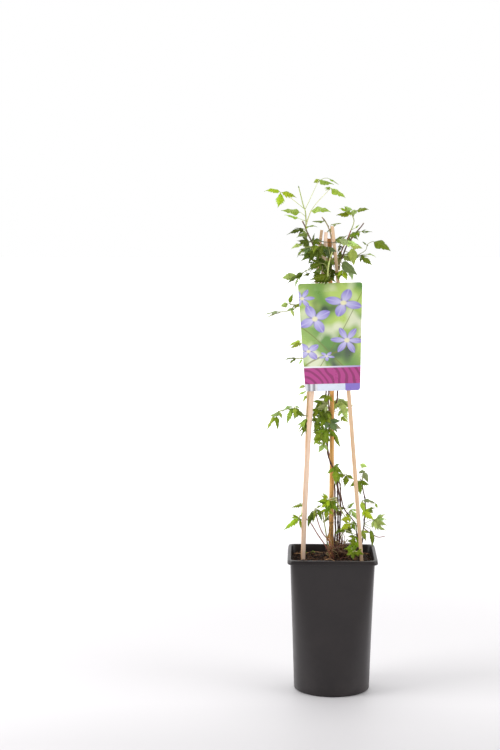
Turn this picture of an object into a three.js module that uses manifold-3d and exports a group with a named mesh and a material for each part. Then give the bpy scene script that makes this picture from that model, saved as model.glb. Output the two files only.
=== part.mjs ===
// A young climbing clematis in its nursery pot. Four canes stand in the soil: a round bamboo cane that
// the plant was first tied to, and three split canes that lean together under a twist of wire. The
// stems wind up round the middle cane and open into a leafy crown above a printed plant card.
// Millimetres, +Z up. The origin is the middle of the pot's underside. The card faces -Y.
import * as THREE from "three";
import Module from "manifold-3d";

const wasm = await Module();
wasm.setup();

// ---- Driving dimensions -------------------------------------------------------------------------
const CLEARANCE = 0.35; // air left between two pieces that touch
const POT_HEIGHT = 214.5;
const POT_RIM = 139; // across the flats of the lip
const POT_BASE = 118; // diameter of the round base
const POT_WALL = 1.6;
const POT_LIP_OVERHANG = 4.3;
const POT_LIP_DEPTH = 6.5;
const POT_SIDES = 28; // points round each level of the pot and the soil
const RIM_SQUARENESS = 16; // exponent of the rim's rounded square
const DRAIN_HOLES = 6;
const SOIL_LEVEL = 201; // where the soil meets the wall
const SOIL_MOUND = 6; // how much higher it stands in the middle
const CANE_RADIUS = 3.7;
const WIRE_RADIUS = 0.6;
const CARD_THICKNESS = 1;
const BLADE_THICKNESS = 0.7;

// ---- Solids -------------------------------------------------------------------------------------
const vec = (p) => new THREE.Vector3(...p);

// An indexed mesh of points and triangles as a solid.
function solid(points, triangles) {
  return new wasm.Manifold(
    new wasm.Mesh({
      numProp: 3,
      vertProperties: new Float32Array(points.flatMap((p) => [p.x, p.y, p.z])),
      triVerts: new Uint32Array(triangles.flat()),
    }),
  );
}

const joined = (solids) => solids.reduce((all, next) => all.add(next));

// Closed rings of equal length, listed so that each ring faces out to the next, capped at both ends.
function loft(rings) {
  const count = rings[0].length;
  const points = rings.flat();
  const triangles = [];
  for (let r = 0; r + 1 < rings.length; r++)
    for (let i = 0; i < count; i++) {
      const a = r * count + i;
      const b = r * count + ((i + 1) % count);
      triangles.push([a, b, b + count], [a, b + count, a + count]);
    }
  const top = (rings.length - 1) * count;
  for (let i = 1; i + 1 < count; i++) triangles.push([0, i + 1, i], [top, top + i, top + i + 1]);
  return solid(points, triangles);
}

// A rod along a smooth route. section(t) gives its outline at t as [across, up] pairs, turning left.
// The across axis starts as near as it can to +X and is carried along the route without twisting.
// kept(t) says which of the steps get a ring.
function rod(route, steps, section, grow = 0, kept = () => true) {
  const curve = new THREE.CatmullRomCurve3(route.map(vec), false, "centripetal");
  const across = new THREE.Vector3(1, 0, 0);
  const rings = [];
  for (let k = 0; k <= steps; k++) {
    const centre = curve.getPointAt(k / steps);
    const along = curve.getTangentAt(k / steps);
    if (k === 0 && Math.abs(along.x) > 0.9) across.set(0, 1, 0);
    across.addScaledVector(along, -across.dot(along)).normalize();
    if (!kept(k / steps)) continue;
    const up = along.clone().cross(across);
    if (k === 0) centre.addScaledVector(along, -grow);
    if (k === steps) centre.addScaledVector(along, grow);
    rings.push(
      section(k / steps).map(([x, y]) =>
        centre.clone().addScaledVector(across, x).addScaledVector(up, y),
      ),
    );
  }
  return loft(rings);
}

const circle = (radius, sides) =>
  Array.from({ length: sides }, (_, i) => {
    const angle = (2 * Math.PI * i) / sides;
    return [radius * Math.cos(angle), radius * Math.sin(angle)];
  });

const mix = THREE.MathUtils.lerp;

// A round stem that thins evenly from one end of its route to the other.
const stem = (route, steps, sides, from, to, grow = 0) =>
  rod(route, steps, (t) => circle(mix(from, to, t) + grow, sides), grow);

// ---- Pot ----------------------------------------------------------------------------------------
// One moulded shell: a square rim with round corners, a lip, and walls that turn round at the base.
function potRing(height, halfWidth, squareness) {
  const power = mix(1, 2 / RIM_SQUARENESS, squareness);
  const bulge = (v) => halfWidth * Math.sign(v) * Math.abs(v) ** power;
  return circle(1, POT_SIDES).map(([x, y]) => {
    const [c, s] = [x, y].map((v) => (Math.abs(v) < 1e-9 ? 0 : v));
    return new THREE.Vector3(bulge(c), bulge(s), height);
  });
}

const WALL_LEVELS = [45, 120, SOIL_LEVEL];

// The wall at a height, set in from its outer face.
function wallRing(height, inset) {
  const share = height / POT_HEIGHT;
  const half = mix(POT_BASE / 2, POT_RIM / 2 - POT_LIP_OVERHANG, share);
  return potRing(height, half - inset, share ** 0.9);
}

function pot(grow = 0) {
  const rim = POT_RIM / 2;
  const inset = POT_WALL + grow;
  const lipFoot = POT_HEIGHT - POT_LIP_DEPTH;
  const shell = loft([
    potRing(0, POT_BASE / 2 - 2.2, 0),
    wallRing(1.8, 0),
    ...WALL_LEVELS.map((z) => wallRing(z, 0)),
    wallRing(lipFoot, 0),
    potRing(lipFoot, rim - 0.4, 1),
    potRing(lipFoot + 1, rim, 1),
    potRing(POT_HEIGHT - 0.8, rim - 1, 1),
    potRing(POT_HEIGHT, rim - 1.8, 1),
    potRing(POT_HEIGHT, rim - POT_LIP_OVERHANG - inset + 0.6, 1),
    wallRing(POT_HEIGHT - 1.6, inset),
    ...WALL_LEVELS.toReversed().map((z) => wallRing(z, inset)),
    wallRing(3.2 + grow, inset + 1.2),
    potRing(2 + grow, POT_BASE / 2 - inset - 3, 0),
  ]);
  const drains = Array.from({ length: DRAIN_HOLES }, (_, i) => {
    const angle = (2 * Math.PI * (i + 0.5)) / DRAIN_HOLES;
    const hole = new THREE.CylinderGeometry(4.5, 4.5, 10, 8).rotateX(Math.PI / 2);
    return fromGeometry(hole.translate(43 * Math.cos(angle), 43 * Math.sin(angle), 0));
  });
  return shell.subtract(joined(drains));
}

// A three.js geometry as a solid, its doubled corners merged.
function fromGeometry(geometry) {
  const flat = (geometry.index ? geometry.toNonIndexed() : geometry).getAttribute("position");
  const seen = new Map();
  const points = [];
  const order = [];
  for (let i = 0; i < flat.count; i++) {
    const p = new THREE.Vector3().fromBufferAttribute(flat, i);
    const key = p.toArray().map((v) => v.toFixed(4)).join();
    if (!seen.has(key)) seen.set(key, points.push(p) - 1);
    order.push(seen.get(key));
  }
  const triangles = [];
  for (let i = 0; i < order.length; i += 3) {
    const [a, b, c] = order.slice(i, i + 3);
    if (a !== b && b !== c && a !== c) triangles.push([a, b, c]);
  }
  return solid(points, triangles);
}

// ---- Soil ---------------------------------------------------------------------------------------
// A packed block of potting soil with a lumpy, slightly mounded top. What stands in it is cut out.
function soil() {
  const buried = 0.8; // the block is cut back to the wall afterwards
  const edge = wallRing(SOIL_LEVEL, buried);
  const top = [1, 0.76, 0.48, 0.22].map((share) =>
    edge.map((p) => {
      const [x, y] = [p.x * share, p.y * share];
      const lumps = Math.sin(x * 0.31 + 1) * Math.cos(y * 0.27) + Math.sin((x - y) * 0.17);
      const rise = SOIL_MOUND * (1 - share ** 2) + (share < 1 ? 0.9 * lumps : 0);
      return new THREE.Vector3(x, y, SOIL_LEVEL + rise);
    }),
  );
  const walls = [2.5, ...WALL_LEVELS.slice(0, -1)].map((z) => wallRing(z, buried));
  return loft([...walls, ...top]);
}

// ---- Canes --------------------------------------------------------------------------------------
// The round cane is bamboo with a raised ring at each joint. It leans a little at the top.
const ROUND_CANE = [
  [-1.5, 0, 110], [-1.4, 0, 235], [-1.2, 0, 440], [-3, 0.5, 580], [-6.6, 1.5, 703],
];
const CANE_JOINTS = [125, 262, 399, 536, 673]; // heights of the rings
const JOINT_SWELLING = 0.55;

function roundCane(grow = 0) {
  const steps = 96; // stations along the cane, of which only those next to a joint are kept
  const [foot, head] = [ROUND_CANE[0][2], ROUND_CANE.at(-1)[2]];
  const height = (t) => mix(foot, head, t);
  const step = (head - foot) / steps;
  const near = (t, reach) => CANE_JOINTS.some((joint) => Math.abs(height(t) - joint) <= reach);
  const section = (t) =>
    circle(CANE_RADIUS * (1 - 0.1 * t) + (near(t, step / 2) ? JOINT_SWELLING : 0) + grow, 8);
  const kept = (t) => near(t, step * 1.5) || t === 0 || t === 1 || t * steps % 24 === 12;
  return rod(ROUND_CANE, steps, section, grow, kept);
}

// The three split canes: sawn strips of bamboo with eased corners, thicker at the foot.
const SPLIT_CANES = {
  cane_left: {
    route: [
      [-47.5, -4, 130], [-45.2, -6.5, 210], [-43.3, -9, 275], [-39.7, -12, 354], [-33.2, -14.7, 456],
      [-16, -7, 652], [-11.4, -5, 713],
    ],
    wide: 8,
    deep: 5.6,
    foot: 0.74,
    head: 0.62,
  },
  cane_right: {
    route: [
      [51, -31.5, 130], [45, -28, 210], [34.8, -22, 338], [24, -16, 468], [7, -8, 638],
      [-2, -4.2, 722],
    ],
    wide: 6.2,
    deep: 5,
    foot: 0.74,
    head: 0.8,
  },
  cane_back: {
    route: [
      [-49, 38, 130], [-46, 35, 205], [-41, 28, 340], [-37, 21.4, 464], [-21, 9.4, 691],
      [-18, 8, 716],
    ],
    wide: 5.6,
    deep: 4.6,
    foot: 1,
    head: 0.8,
  },
};

// A strip that is widest a third of the way up and thinner at its foot and its head.
function splitCane({ route, wide, deep, foot, head }, grow = 0) {
  const section = (t) => {
    const share = t < 1 / 3 ? mix(foot, 1, t * 3) : mix(1, head, t * 1.5 - 0.5);
    const [x, y] = [wide, deep].map((size) => (size * share) / 2 + grow);
    const ease = 0.3 * y;
    const [flatX, flatY] = [x - ease, y - ease];
    return [
      [x, -flatY], [x, flatY], [flatX, y], [-flatX, y],
      [-x, flatY], [-x, -flatY], [-flatX, -y], [flatX, -y],
    ];
  };
  return rod(route, 8, section, grow);
}

// ---- Wire tie -----------------------------------------------------------------------------------
// A loop of plastic-coated wire round all four canes, its two ends twisted together at the back.
const TIE_LOOP = [
  [-15.6, -8.9, 698], [-6, -8.8, 697.4], [3.2, -8.4, 697], [4.4, -7.2, 697], [4.5, -2.8, 697],
  [1, 1.7, 697], [-3.5, 5.5, 697.4], [-10, 8.6, 698], [-17.6, 11.8, 698.6], [-22.8, 11.8, 699],
  [-23.7, 10.7, 699], [-23.7, 6.8, 699], [-20.6, 0, 698.6], [-16.7, -7.9, 698],
];
const TIE_TAIL = [[-10, 8.2, 698], [-10.6, 11, 699], [-9, 14, 702], [-10.6, 16, 706]];

function wireTie(grow = 0) {
  const loop = new THREE.CatmullRomCurve3(TIE_LOOP.map(vec), true, "centripetal");
  const [steps, sides] = [24, 4];
  const points = [];
  const triangles = [];
  for (let k = 0; k < steps; k++) {
    const centre = loop.getPointAt(k / steps);
    const along = loop.getTangentAt(k / steps);
    const up = new THREE.Vector3(0, 0, 1).addScaledVector(along, -along.z).normalize();
    const across = up.clone().cross(along);
    for (const [x, y] of circle(WIRE_RADIUS + grow, sides))
      points.push(centre.clone().addScaledVector(across, x).addScaledVector(up, y));
    for (let i = 0; i < sides; i++) {
      const [j, next] = [(i + 1) % sides, (k + 1) % steps];
      const [a, b, c, d] = [k * sides + i, k * sides + j, next * sides + i, next * sides + j];
      triangles.push([a, b, d], [a, d, c]);
    }
  }
  return solid(points, triangles).add(stem(TIE_TAIL, 4, 4, 0.9, 0.7, grow));
}

// ---- Plant card ---------------------------------------------------------------------------------
// A stiff plastic card, wider at the top, that lies against the two front canes.
const CARD_FOOT = { height: 470, width: 84, y: -18.9 };
const CARD_HEAD = { height: 635.5, width: 99, y: -11.1 };
const CARD_TURN = 1.6; // degrees, turned in its own plane
const CARD_MIDDLE = -2.8;

function plantCard(grow = 0) {
  const tall = CARD_HEAD.height - CARD_FOOT.height + 2 * grow;
  const [foot, head] = [CARD_FOOT.width / 2 + grow, CARD_HEAD.width / 2 + grow];
  const [top, low, round] = [tall / 2, -tall / 2, 4];
  const outline = new THREE.Shape()
    .moveTo(-foot + round, low)
    .lineTo(foot - round, low)
    .quadraticCurveTo(foot, low, foot + 0.3, low + round)
    .lineTo(head - 0.3, top - round)
    .quadraticCurveTo(head, top, head - round, top)
    .lineTo(-head + round, top)
    .quadraticCurveTo(-head, top, -head + 0.3, top - round)
    .lineTo(-foot - 0.3, low + round)
    .quadraticCurveTo(-foot, low, -foot + round, low);
  const depth = CARD_THICKNESS + 2 * grow;
  const card = new THREE.ExtrudeGeometry(outline, { depth, bevelEnabled: false, curveSegments: 3 });
  const lean = Math.atan2(CARD_HEAD.y - CARD_FOOT.y, CARD_HEAD.height - CARD_FOOT.height);
  card.translate(0, 0, -depth / 2).rotateZ(THREE.MathUtils.degToRad(CARD_TURN));
  card.rotateX(Math.PI / 2 - lean);
  card.translate(
    CARD_MIDDLE,
    (CARD_FOOT.y + CARD_HEAD.y) / 2,
    (CARD_FOOT.height + CARD_HEAD.height) / 2,
  );
  return fromGeometry(card);
}

// ---- Leaves -------------------------------------------------------------------------------------
// A leaf is one thin plate, cut to the ribs into one or three leaflets, on a stalk. Half of a
// leaflet's outline, from foot to tip, is given as [along, out] shares of its length. Each leaflet
// folds down on both sides of its rib and bows along it.
const LOBED = [[0.18, 0.13], [0.45, 0.27], [0.6, 0.16]];
const LONE = [[0.26, 0.34], [0.6, 0.24]]; // of a leaf that has one leaflet
const SIDE_OUTER = [[0.42, 0.28], [0.6, 0.16]];
const SIDE_INNER = [[0.5, 0.16]];
const FULL_SPREAD = 58; // degrees; leaflets that spread less are narrower
const FOLD = 0.2;
const BOW = 0.08;
const HUB = 1.1; // from the meeting point to the cuts between the leaflets
const STALK = 1.3; // across a leaf's stalk

// The axes of a leaf that runs from one point to another, its face turned to the front by `lean`.
function leafAxes(from, to, lean) {
  const along = to.clone().sub(from).normalize();
  const out = new THREE.Vector3(0, 0, 1).cross(along);
  if (out.length() < 0.08) out.set(1, 0, 0);
  const turn = along.x < 0 ? -lean : lean;
  out.normalize().applyAxisAngle(along, THREE.MathUtils.degToRad(turn));
  return { along, out, face: along.clone().cross(out).normalize() };
}

// The flat corners of a leaf as [along, out, height]: 0 is the point where the leaflets meet, and 1
// and 2 are the right and left of its foot. Leaflets run from right to left, each with its turn,
// length and edges. The halves are cut along the ribs; the rim runs round from 1 to 2.
function leafOutline(leaflets, width, grow) {
  const foot = STALK / 2 + grow;
  const corners = [[0, 0, 0], [-HUB, -foot, 0], [-HUB, foot, 0]];
  const halves = [[0, 2, 1]];
  const rim = [1];
  leaflets.forEach(({ turn, length, left, right }, index) => {
    const [c, s] = [Math.cos(turn), Math.sin(turn)];
    const corner = ([share, side]) => {
      const x = share * length + (share === 1 ? grow : 0);
      const y = side * width * length + Math.sign(side) * grow;
      const height = length * (BOW * 4 * share * (1 - share) - FOLD * Math.abs(side * width));
      return corners.push([c * x - s * y, s * x + c * y, height]) - 1;
    };
    const tip = corner([1, 0]);
    const rib = turn === 0 ? [0, corner([0.5, 0])] : [0];
    const rightEdge = right.map(([share, side]) => corner([share, -side]));
    const leftEdge = left.map(corner).toReversed();
    const before = rim.at(-1);
    let after = 2;
    if (index + 1 < leaflets.length) {
      const cut = (turn + leaflets[index + 1].turn) / 2;
      after = corners.push([HUB * Math.cos(cut), HUB * Math.sin(cut), 0]) - 1;
    }
    halves.push([before, ...rightEdge, tip, ...rib.toReversed()], [...rib, tip, ...leftEdge, after]);
    rim.push(...rightEdge, tip, ...leftEdge, after);
  });
  return { corners, halves, rim };
}

// The square rings of a stalk from the leaf's foot back to the stem, without a twist.
function stalkRings(points, { along, out, face }, grow) {
  const [across, up] = [out.clone(), face.clone()];
  let heading = along.clone().negate();
  return points.slice(1).map((point, i) => {
    const next = points[i + 2] ?? point.clone().addScaledVector(point.clone().sub(points[i]), 0.5);
    const into = point.clone().sub(points[i]).normalize();
    const bisector = into.clone().add(next.clone().sub(point).normalize()).normalize();
    const swing = new THREE.Quaternion().setFromUnitVectors(heading, bisector);
    [across, up].forEach((axis) => axis.applyQuaternion(swing));
    heading = bisector;
    const half = STALK / 2 + grow;
    const end = point.clone().addScaledVector(into, points[i + 2] ? 0 : grow);
    return [[-1, 1], [1, 1], [1, -1], [-1, -1]].map(([x, y]) =>
      end.clone().addScaledVector(across, x * half).addScaledVector(up, y * half),
    );
  });
}

// One leaf from its row: the stalk's route up to where the leaflets meet, the tip of the end leaflet,
// the lean of its face, the side leaflets' size beside the end one, and the angle they spread at.
function leaf([stalk, tip, lean = 40, side = 0.8, spread = FULL_SPREAD], grow = 0) {
  const meeting = vec(stalk.at(-1));
  const length = meeting.distanceTo(vec(tip));
  const turn = THREE.MathUtils.degToRad(spread);
  const edge = side > 0 ? LOBED : LONE;
  const leaflets = [{ turn: 0, length, left: edge, right: edge }];
  if (side > 0) {
    leaflets.unshift({ turn: -turn, length: length * side, left: SIDE_INNER, right: SIDE_OUTER });
    leaflets.push({ turn, length: length * side, left: SIDE_OUTER, right: SIDE_INNER });
  }
  const axes = leafAxes(meeting, vec(tip), lean);
  const width = Math.min(1, spread / FULL_SPREAD);
  const { corners, halves, rim } = leafOutline(leaflets, width, grow);
  const lift = BLADE_THICKNESS / 2 + grow;
  const points = [lift, -lift].flatMap((level) =>
    corners.map(([x, y, height]) =>
      meeting.clone()
        .addScaledVector(axes.along, x)
        .addScaledVector(axes.out, y)
        .addScaledVector(axes.face, height + level),
    ),
  );
  const under = corners.length;
  const triangles = [];
  for (const half of halves) {
    const contour = half.map((i) => new THREE.Vector2(...corners[i]));
    for (const face of THREE.ShapeUtils.triangulateShape(contour, [])) {
      const [a, b, c] = face.map((i) => half[i]);
      triangles.push([a, b, c], [c + under, b + under, a + under]);
    }
  }
  for (let i = 0; i + 1 < rim.length; i++) {
    const [a, b] = [rim[i], rim[i + 1]];
    triangles.push([a, a + under, b + under], [a, b + under, b]);
  }
  const back = [HUB, HUB + 1.6].map((d) => meeting.clone().addScaledVector(axes.along, -d));
  const route = [...back, ...stalk.slice(0, -1).map(vec).toReversed()];
  let ring = [1, 2, 2 + under, 1 + under];
  for (const next of stalkRings(route, axes, grow)) {
    const first = points.push(...next) - 4;
    const nextRing = [0, 1, 2, 3].map((i) => first + i);
    for (let i = 0; i < 4; i++) {
      const [a, b, c, d] = [ring[i], ring[(i + 1) % 4], nextRing[(i + 1) % 4], nextRing[i]];
      triangles.push([a, b, c], [a, c, d]);
    }
    ring = nextRing;
  }
  triangles.push(ring.slice(0, 3), [ring[0], ring[2], ring[3]]);
  return solid(points, triangles);
}

// ---- Plant --------------------------------------------------------------------------------------
// Stems as [route, radius at the start, radius at the end], leaves as the rows described above.
const SHOOTS = {
  vine_front: {
    stems: [
      [[[4.6, 3, 180], [6, 0, 205], [8, -3, 240], [9, -5, 280], [7, -7, 320], [3, -8, 345],
        [-4, -8.5, 358], [-8, -5, 372], [-9, -2, 400], [-10, -2, 430], [-10.5, -2, 460], [-10, -3, 500],
        [-9, -4, 540], [-10, -3, 580], [-11.5, -1, 620], [-12, 2.6, 642]], 1.35, 1.1],
      [[[-11.6, 0, 628], [-9, -14, 640], [-8.6, -24, 652], [-7.5, -25, 664], [-4.5, -20, 676],
        [-0.5, -11.5, 687]], 1.1, 0.9],
      [[[6.4, -0.6, 212], [1, -6, 224], [-3, -11, 236]], 0.9, 0.6],
      [[[6.3, -0.4, 210], [6, -8, 222], [9, -14, 234]], 0.9, 0.6],
      [[[6.6, -0.9, 215], [0, -5.4, 226], [-2, -6.4, 244]], 0.9, 0.6],
    ],
    leaves: [
      [[[8, -6, 300], [2, -11, 303], [-6, -13, 298.5]], [-22, -18, 295.5], 30, 0.85, 60],
      [[[8, -6, 300], [3, -12, 299], [-3, -13, 298.5]], [-12.5, -20, 280], 20, 0.9, 62],
      [[[9, -5, 285], [2, -12, 290], [-7, -13, 284.5]], [-11.5, -16, 266], 20, 0.75, 46],
      [[[8, -3.5, 245], [6, -12, 246]], [10, -16, 255], 20, 0.7],
      [[[-9, -3, 385], [-14, -5, 387]], [-24, -9, 372], 50],
      [[[-9, -2, 398], [-12, -8, 403]], [-30, -16, 384]],
      [[[-9.6, -2, 415], [-6, -11, 424]], [8, -17, 404]],
      [[[-10, -2, 430], [-12, -5, 442]], [-26, -14, 416], 35],
      [[[-10.4, -2, 448], [-18.5, -8, 454]], [-28, -8.5, 440], 30, 0.8, 50],
      [[[-10.2, -2, 456], [-9, -6, 463]], [-13, -10, 446], 30, 0.9, 50],
      [[[-9.3, -2, 404], [-7, -9, 410]], [-14, -20, 387], 30],
      [[[-9.2, -2.4, 402], [-19, -4, 412]], [-27.5, -6, 396], 20, 0.85, 50],
      [[[-9, -3, 388], [-12, -9, 399]], [-15, -14, 382.5], 20, 0.8, 50],
      [[[-8.8, -23, 652], [-13, -22, 664], [-19.5, -20, 666]], [-38.5, -27, 655.5], 66, 0.8, 50],
      [[[-11.5, -1, 626], [-8, -13, 641], [-5, -18, 648]], [-38, -23, 640], 76, 0.5, 40],
      [[[-5, -21, 675], [-8, -14, 691]], [-8, -17, 671], 0],
      [[[-8.7, -23, 655], [-13, -16, 670]], [-15, -18, 652], 0, 0.85],
      [[[-7.6, -24.8, 662], [-2, -14.5, 672]], [1, -15, 653], 0, 0.8, 50],
      [[[-11.8, 1.4, 636], [-22, -4, 648], [-23, -12, 657]], [-27, -15, 640], 0],
      [[[-12, 2.2, 640], [-6, -10, 650], [-2, -14, 653]], [6, -20, 640], 70, 0.7, 50],
    ],
  },
  vine_right: {
    stems: [
      [[[9, 4.4, 180], [10, 3, 205], [11, 1, 240], [13, -1, 275], [11, 2, 305], [6.6, 5.2, 332],
        [0, 6.2, 350], [-5.6, 4.4, 368], [-7.4, 3, 392], [-5.4, 4.4, 414], [0, 6, 430], [5, 3.6, 446],
        [7, 0, 466], [9, -1, 500], [10, 0, 550], [8, 2, 600], [7, 3, 640], [7.6, 3.6, 652]], 1.3, 1.2],
      [[[10.2, 2.6, 212], [17, 0, 222], [20, -2, 233]], 0.9, 0.6],
      [[[10.4, 2.2, 216], [15, -4, 226], [16, -9, 242]], 0.9, 0.6],
      [[[10.3, 2.4, 214], [18, 6, 224], [24, 8, 234]], 0.9, 0.6],
    ],
    leaves: [
      [[[5, 3.6, 446], [12, 6, 452.5]], [18.5, 0, 426], 20, 0.85, 40],
      [[[2.4, 5.2, 438], [6, 11, 451], [9, 12, 455]], [14, 11, 434], 10, 0.85, 44],
      [[[9.5, -0.5, 530], [16, 8, 536]], [28, 16, 522], -30],
      [[[9, 1, 580], [20, 6, 588]], [32, 12, 572], -30],
      [[[1.3, 5.4, 434], [13, 5, 427]], [26, 0, 419], 40, 0.5, 34],
    ],
  },
  vine_back: {
    stems: [
      [[[2, 8.4, 180], [3, 8, 205], [5, 9, 250], [4, 9, 300], [1, 9, 350], [-3, 9, 400], [-6, 7, 450],
        [-7, 6, 520], [-3, 8, 570], [-1, 9, 600], [-3, 9, 640], [-6, 9.5, 680]], 1.35, 1.2],
      [[[3.3, 8.2, 212], [-3, 12, 222], [-6, 14, 234]], 0.9, 0.6],
      [[[3.5, 8.3, 216], [8, 15, 226], [10, 20, 240]], 0.9, 0.6],
    ],
    leaves: [
      [[[-4, 8.5, 412], [-12, 6, 422], [-20, 2, 425]], [-29, -6, 406], 30],
      [[[4.6, 9, 270], [8, 18, 280]], [16, 30, 266], -40],
      [[[2.5, 9, 325], [6, 18, 334]], [11, 30, 318], -40],
      [[[-2.6, 9, 396], [7, 9, 402]], [18, 5, 371], 20, 0.6, 30],
      [[[-6, 6.5, 485], [-12, 15, 494]], [-24, 24, 480], -40],
      [[[-1.6, 9, 590], [6, 18, 600]], [14, 29, 586], -40],
      [[[-2.4, 9, 625], [-10, 20, 632]], [-20, 30, 618], -40],
    ],
  },
  vine_low_front: {
    stems: [
      [[[36.6, 12.4, 185], [38, 11, 205], [39, 9, 240], [37, 7, 258], [28, 4, 271], [20, -6, 281],
        [15, -8.5, 294], [12.4, -10, 318], [8, -12, 342]], 1.2, 0.9],
    ],
    leaves: [
      [[[8.6, -11.8, 340], [6, -13, 353], [3, -13, 351]], [5.5, -19, 322.5], 20, 0.8, 48],
      [[[12, -10.2, 320], [17, -7, 337], [21.5, -5, 338.5]], [18.5, -11, 318.5], 20, 0.72, 62],
      [[[30, 4.6, 269], [26.5, -8, 270.5]], [12, -15, 268.5], 30, 0.4, 44],
      [[[38.6, 8, 247], [36, 0, 258], [27.5, -6, 262]], [11, -15, 253], 40, 0.35, 40],
      [[[38.6, 8, 249], [38, 1, 264], [30.5, -2, 263]], [36.5, -5, 248.5], 40, 0.4, 44],
      [[[38.8, 9, 240], [17.5, -10, 253.5]], [7.5, -14, 248], 40, 0.6, 44],
      [[[20, -6, 281], [23.5, -2, 284.5]], [36, -4, 296], 50, 0.5, 34],
      [[[24, -1, 276], [28.5, 7, 281]], [39.5, 3, 263.5], 40, 0.6, 46],
    ],
  },
  vine_low_right: {
    stems: [
      [[[42.6, 20.4, 185], [44, 19, 205], [49, 16, 245], [51, 14, 262], [51.5, 12, 290], [48, 10, 315],
        [44, 8, 330]], 1.2, 0.9],
      [[[49.8, 15.6, 250], [62, 4, 243], [72, 0, 239], [82, -2, 241]], 0.8, 0.6],
    ],
    leaves: [
      [[[47, 9.5, 320], [41.5, 6, 327.5]], [43.5, -1, 304.5], 10, 0.8, 60],
      [[[46, 9, 324], [48, 12, 340], [45.5, 14, 352.5]], [55, 11, 347], 20, 0, 40],
      [[[46.5, 9.4, 322], [48, 12, 329], [46.5, 9, 335.5]], [56.5, 5, 326.5], 20, 0.5, 34],
      [[[51.5, 12, 288], [46, 10, 295]], [68.5, 6, 290], 50, 0, 18],
      [[[51.4, 13, 272], [48, 6, 280.5]], [66, -3, 266], 60, 0.5, 36],
      [[[51, 14, 258], [60, 8, 264], [66, 3, 266]], [85.5, -6, 258], 50, 0.85, 56],
      [[[51, 14, 257], [58, 8, 255], [68.5, 2, 255.5]], [84.5, -3, 249.5], 60, 0.5, 36],
      [[[50.5, 15, 254], [60, 1, 251]], [62, -3, 223], 0, 0, 30],
      [[[49.6, 16, 249], [46.5, 5, 248.5]], [53.5, -1, 232], 20, 0.7, 44],
      [[[51.4, 13, 272], [56, 22, 280]], [66, 32, 270], -40],
    ],
  },
  leaves_low_left: {
    stems: [
      [[[4, -8, 190], [2, -9, 206], [-4, -9.4, 232], [-15, -11, 247], [-22, -12, 264],
        [-27, -12, 285]], 1, 0.8],
      [[[3, -9, 190], [-3, -10, 212], [-10, -10, 226], [-23, -9, 245], [-34, 0, 261], [-45, 2.5, 270],
        [-51, 1, 272]], 1, 0.8],
    ],
    leaves: [
      [[[-24, -12, 275], [-31.5, -13, 282]], [-37.5, -18, 257], 20, 0, 34],
      [[[-26, -12, 281], [-24.5, -13, 286]], [-15.5, -23, 265], 20, 0.35, 30],
      [[[-27, -12, 285], [-24, -13, 287.5]], [-15.5, -15, 291], 40, 0.5, 40],
      [[[-49, 1.8, 271.6], [-51.5, -2, 270.5]], [-77, -12, 250], 40, 0.45, 34],
      [[[-49.4, 1.6, 271.6], [-51, 0, 268.5]], [-48.5, -6, 250.5], 20, 0.4, 36],
      [[[-48, 2, 271], [-47, 4, 288], [-45, 1, 289.5]], [-65.5, -4, 285.5], 60, 0.4, 22],
    ],
  },
  leaves_soil: {
    stems: [
      [[[28, -2, 188], [31, -6, 212], [34, -9, 233]], 1.2, 0.9],
    ],
    leaves: [
      [[[33.6, -8.6, 231], [34, -11, 236.5]], [28.5, -17, 225], 40, 0.85],
      [[[32, -7, 219], [27, -16, 226], [32, -20, 225]], [23, -28, 214], 30, 0.9],
      [[[31, -6, 211], [31, -22, 221], [37.5, -33, 223]], [49, -37, 218.5], 60, 0.75, 50],
      [[[30, -5, 206], [28, -17, 217], [32, -30, 222]], [31.5, -39, 210.5], 0, 0.9, 60],
    ],
  },
  leaves_low_back: {
    stems: [
      [[[-4, 14, 190], [-8, 20, 232], [-14, 26, 268]], 1.1, 0.9],
      [[[-4, 14, 196], [8, 26, 222], [20, 34, 244]], 1, 0.9],
    ],
    leaves: [
      [[[-13.6, 25.6, 264], [-17, 27, 275]], [-28, 36, 264], -30],
      [[[-13, 25, 258], [-6, 27, 266]], [4, 38, 256], -50],
      [[[10, 27, 226], [4, 38, 226]], [-4, 50, 214], -40],
      [[[18, 33, 241], [20, 34, 246]], [34, 42, 234], -40],
    ],
  },
  leaves_mid_left: {
    stems: [
      [[[-3.6, 8.8, 408], [-20, 8, 428], [-37, 4, 428], [-52, 3, 432], [-64, 4, 439], [-78, 5, 437],
        [-87, 6, 433]], 1, 0.8],
    ],
    leaves: [
      [[[-82, 5.2, 436], [-87.5, 5, 429.5]], [-85, -3, 406.5], 0, 0, 28],
      [[[-84, 5.8, 435], [-89.5, 7, 429.5]], [-102, 2, 405], 10, 0, 25],
      [[[-62, 4, 438], [-62.5, 4, 441.5]], [-72, -4, 414.5], 10, 0.3, 28],
      [[[-62, 4, 438], [-59.5, 3, 442.5]], [-56.5, -3, 426], 10, 0, 30],
      [[[-61, 4, 437], [-57, 3, 442]], [-46.5, -3, 426], 20, 0, 36],
      [[[-63, 4, 438.6], [-63, 5, 443]], [-75.5, 1, 436], 40, 0, 40],
      [[[-37, 4, 428], [-40, 3, 424.5]], [-54, -3, 403.5], 20, 0.85, 30],
      [[[-36, 4, 428], [-38, 1, 415.5]], [-49.5, -4, 393.5], 20, 0.85, 28],
      [[[-38, 4, 428], [-39, 7, 423]], [-43, 4, 401.5], 20, 0.8, 30],
      [[[-50, 3, 431], [-54, 12, 436]], [-60, 24, 420], -30],
    ],
  },
  leaves_card_middle: {
    stems: [
      [[[-4, 7.6, 556], [-14, 4.6, 572], [-25, 3, 585], [-45, 8, 597], [-67, 10, 602]], 1, 0.8],
    ],
    leaves: [
      [[[-66, 9.8, 601.8], [-69.5, 10, 601.5]], [-81, 8, 596], 50, 0],
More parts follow.
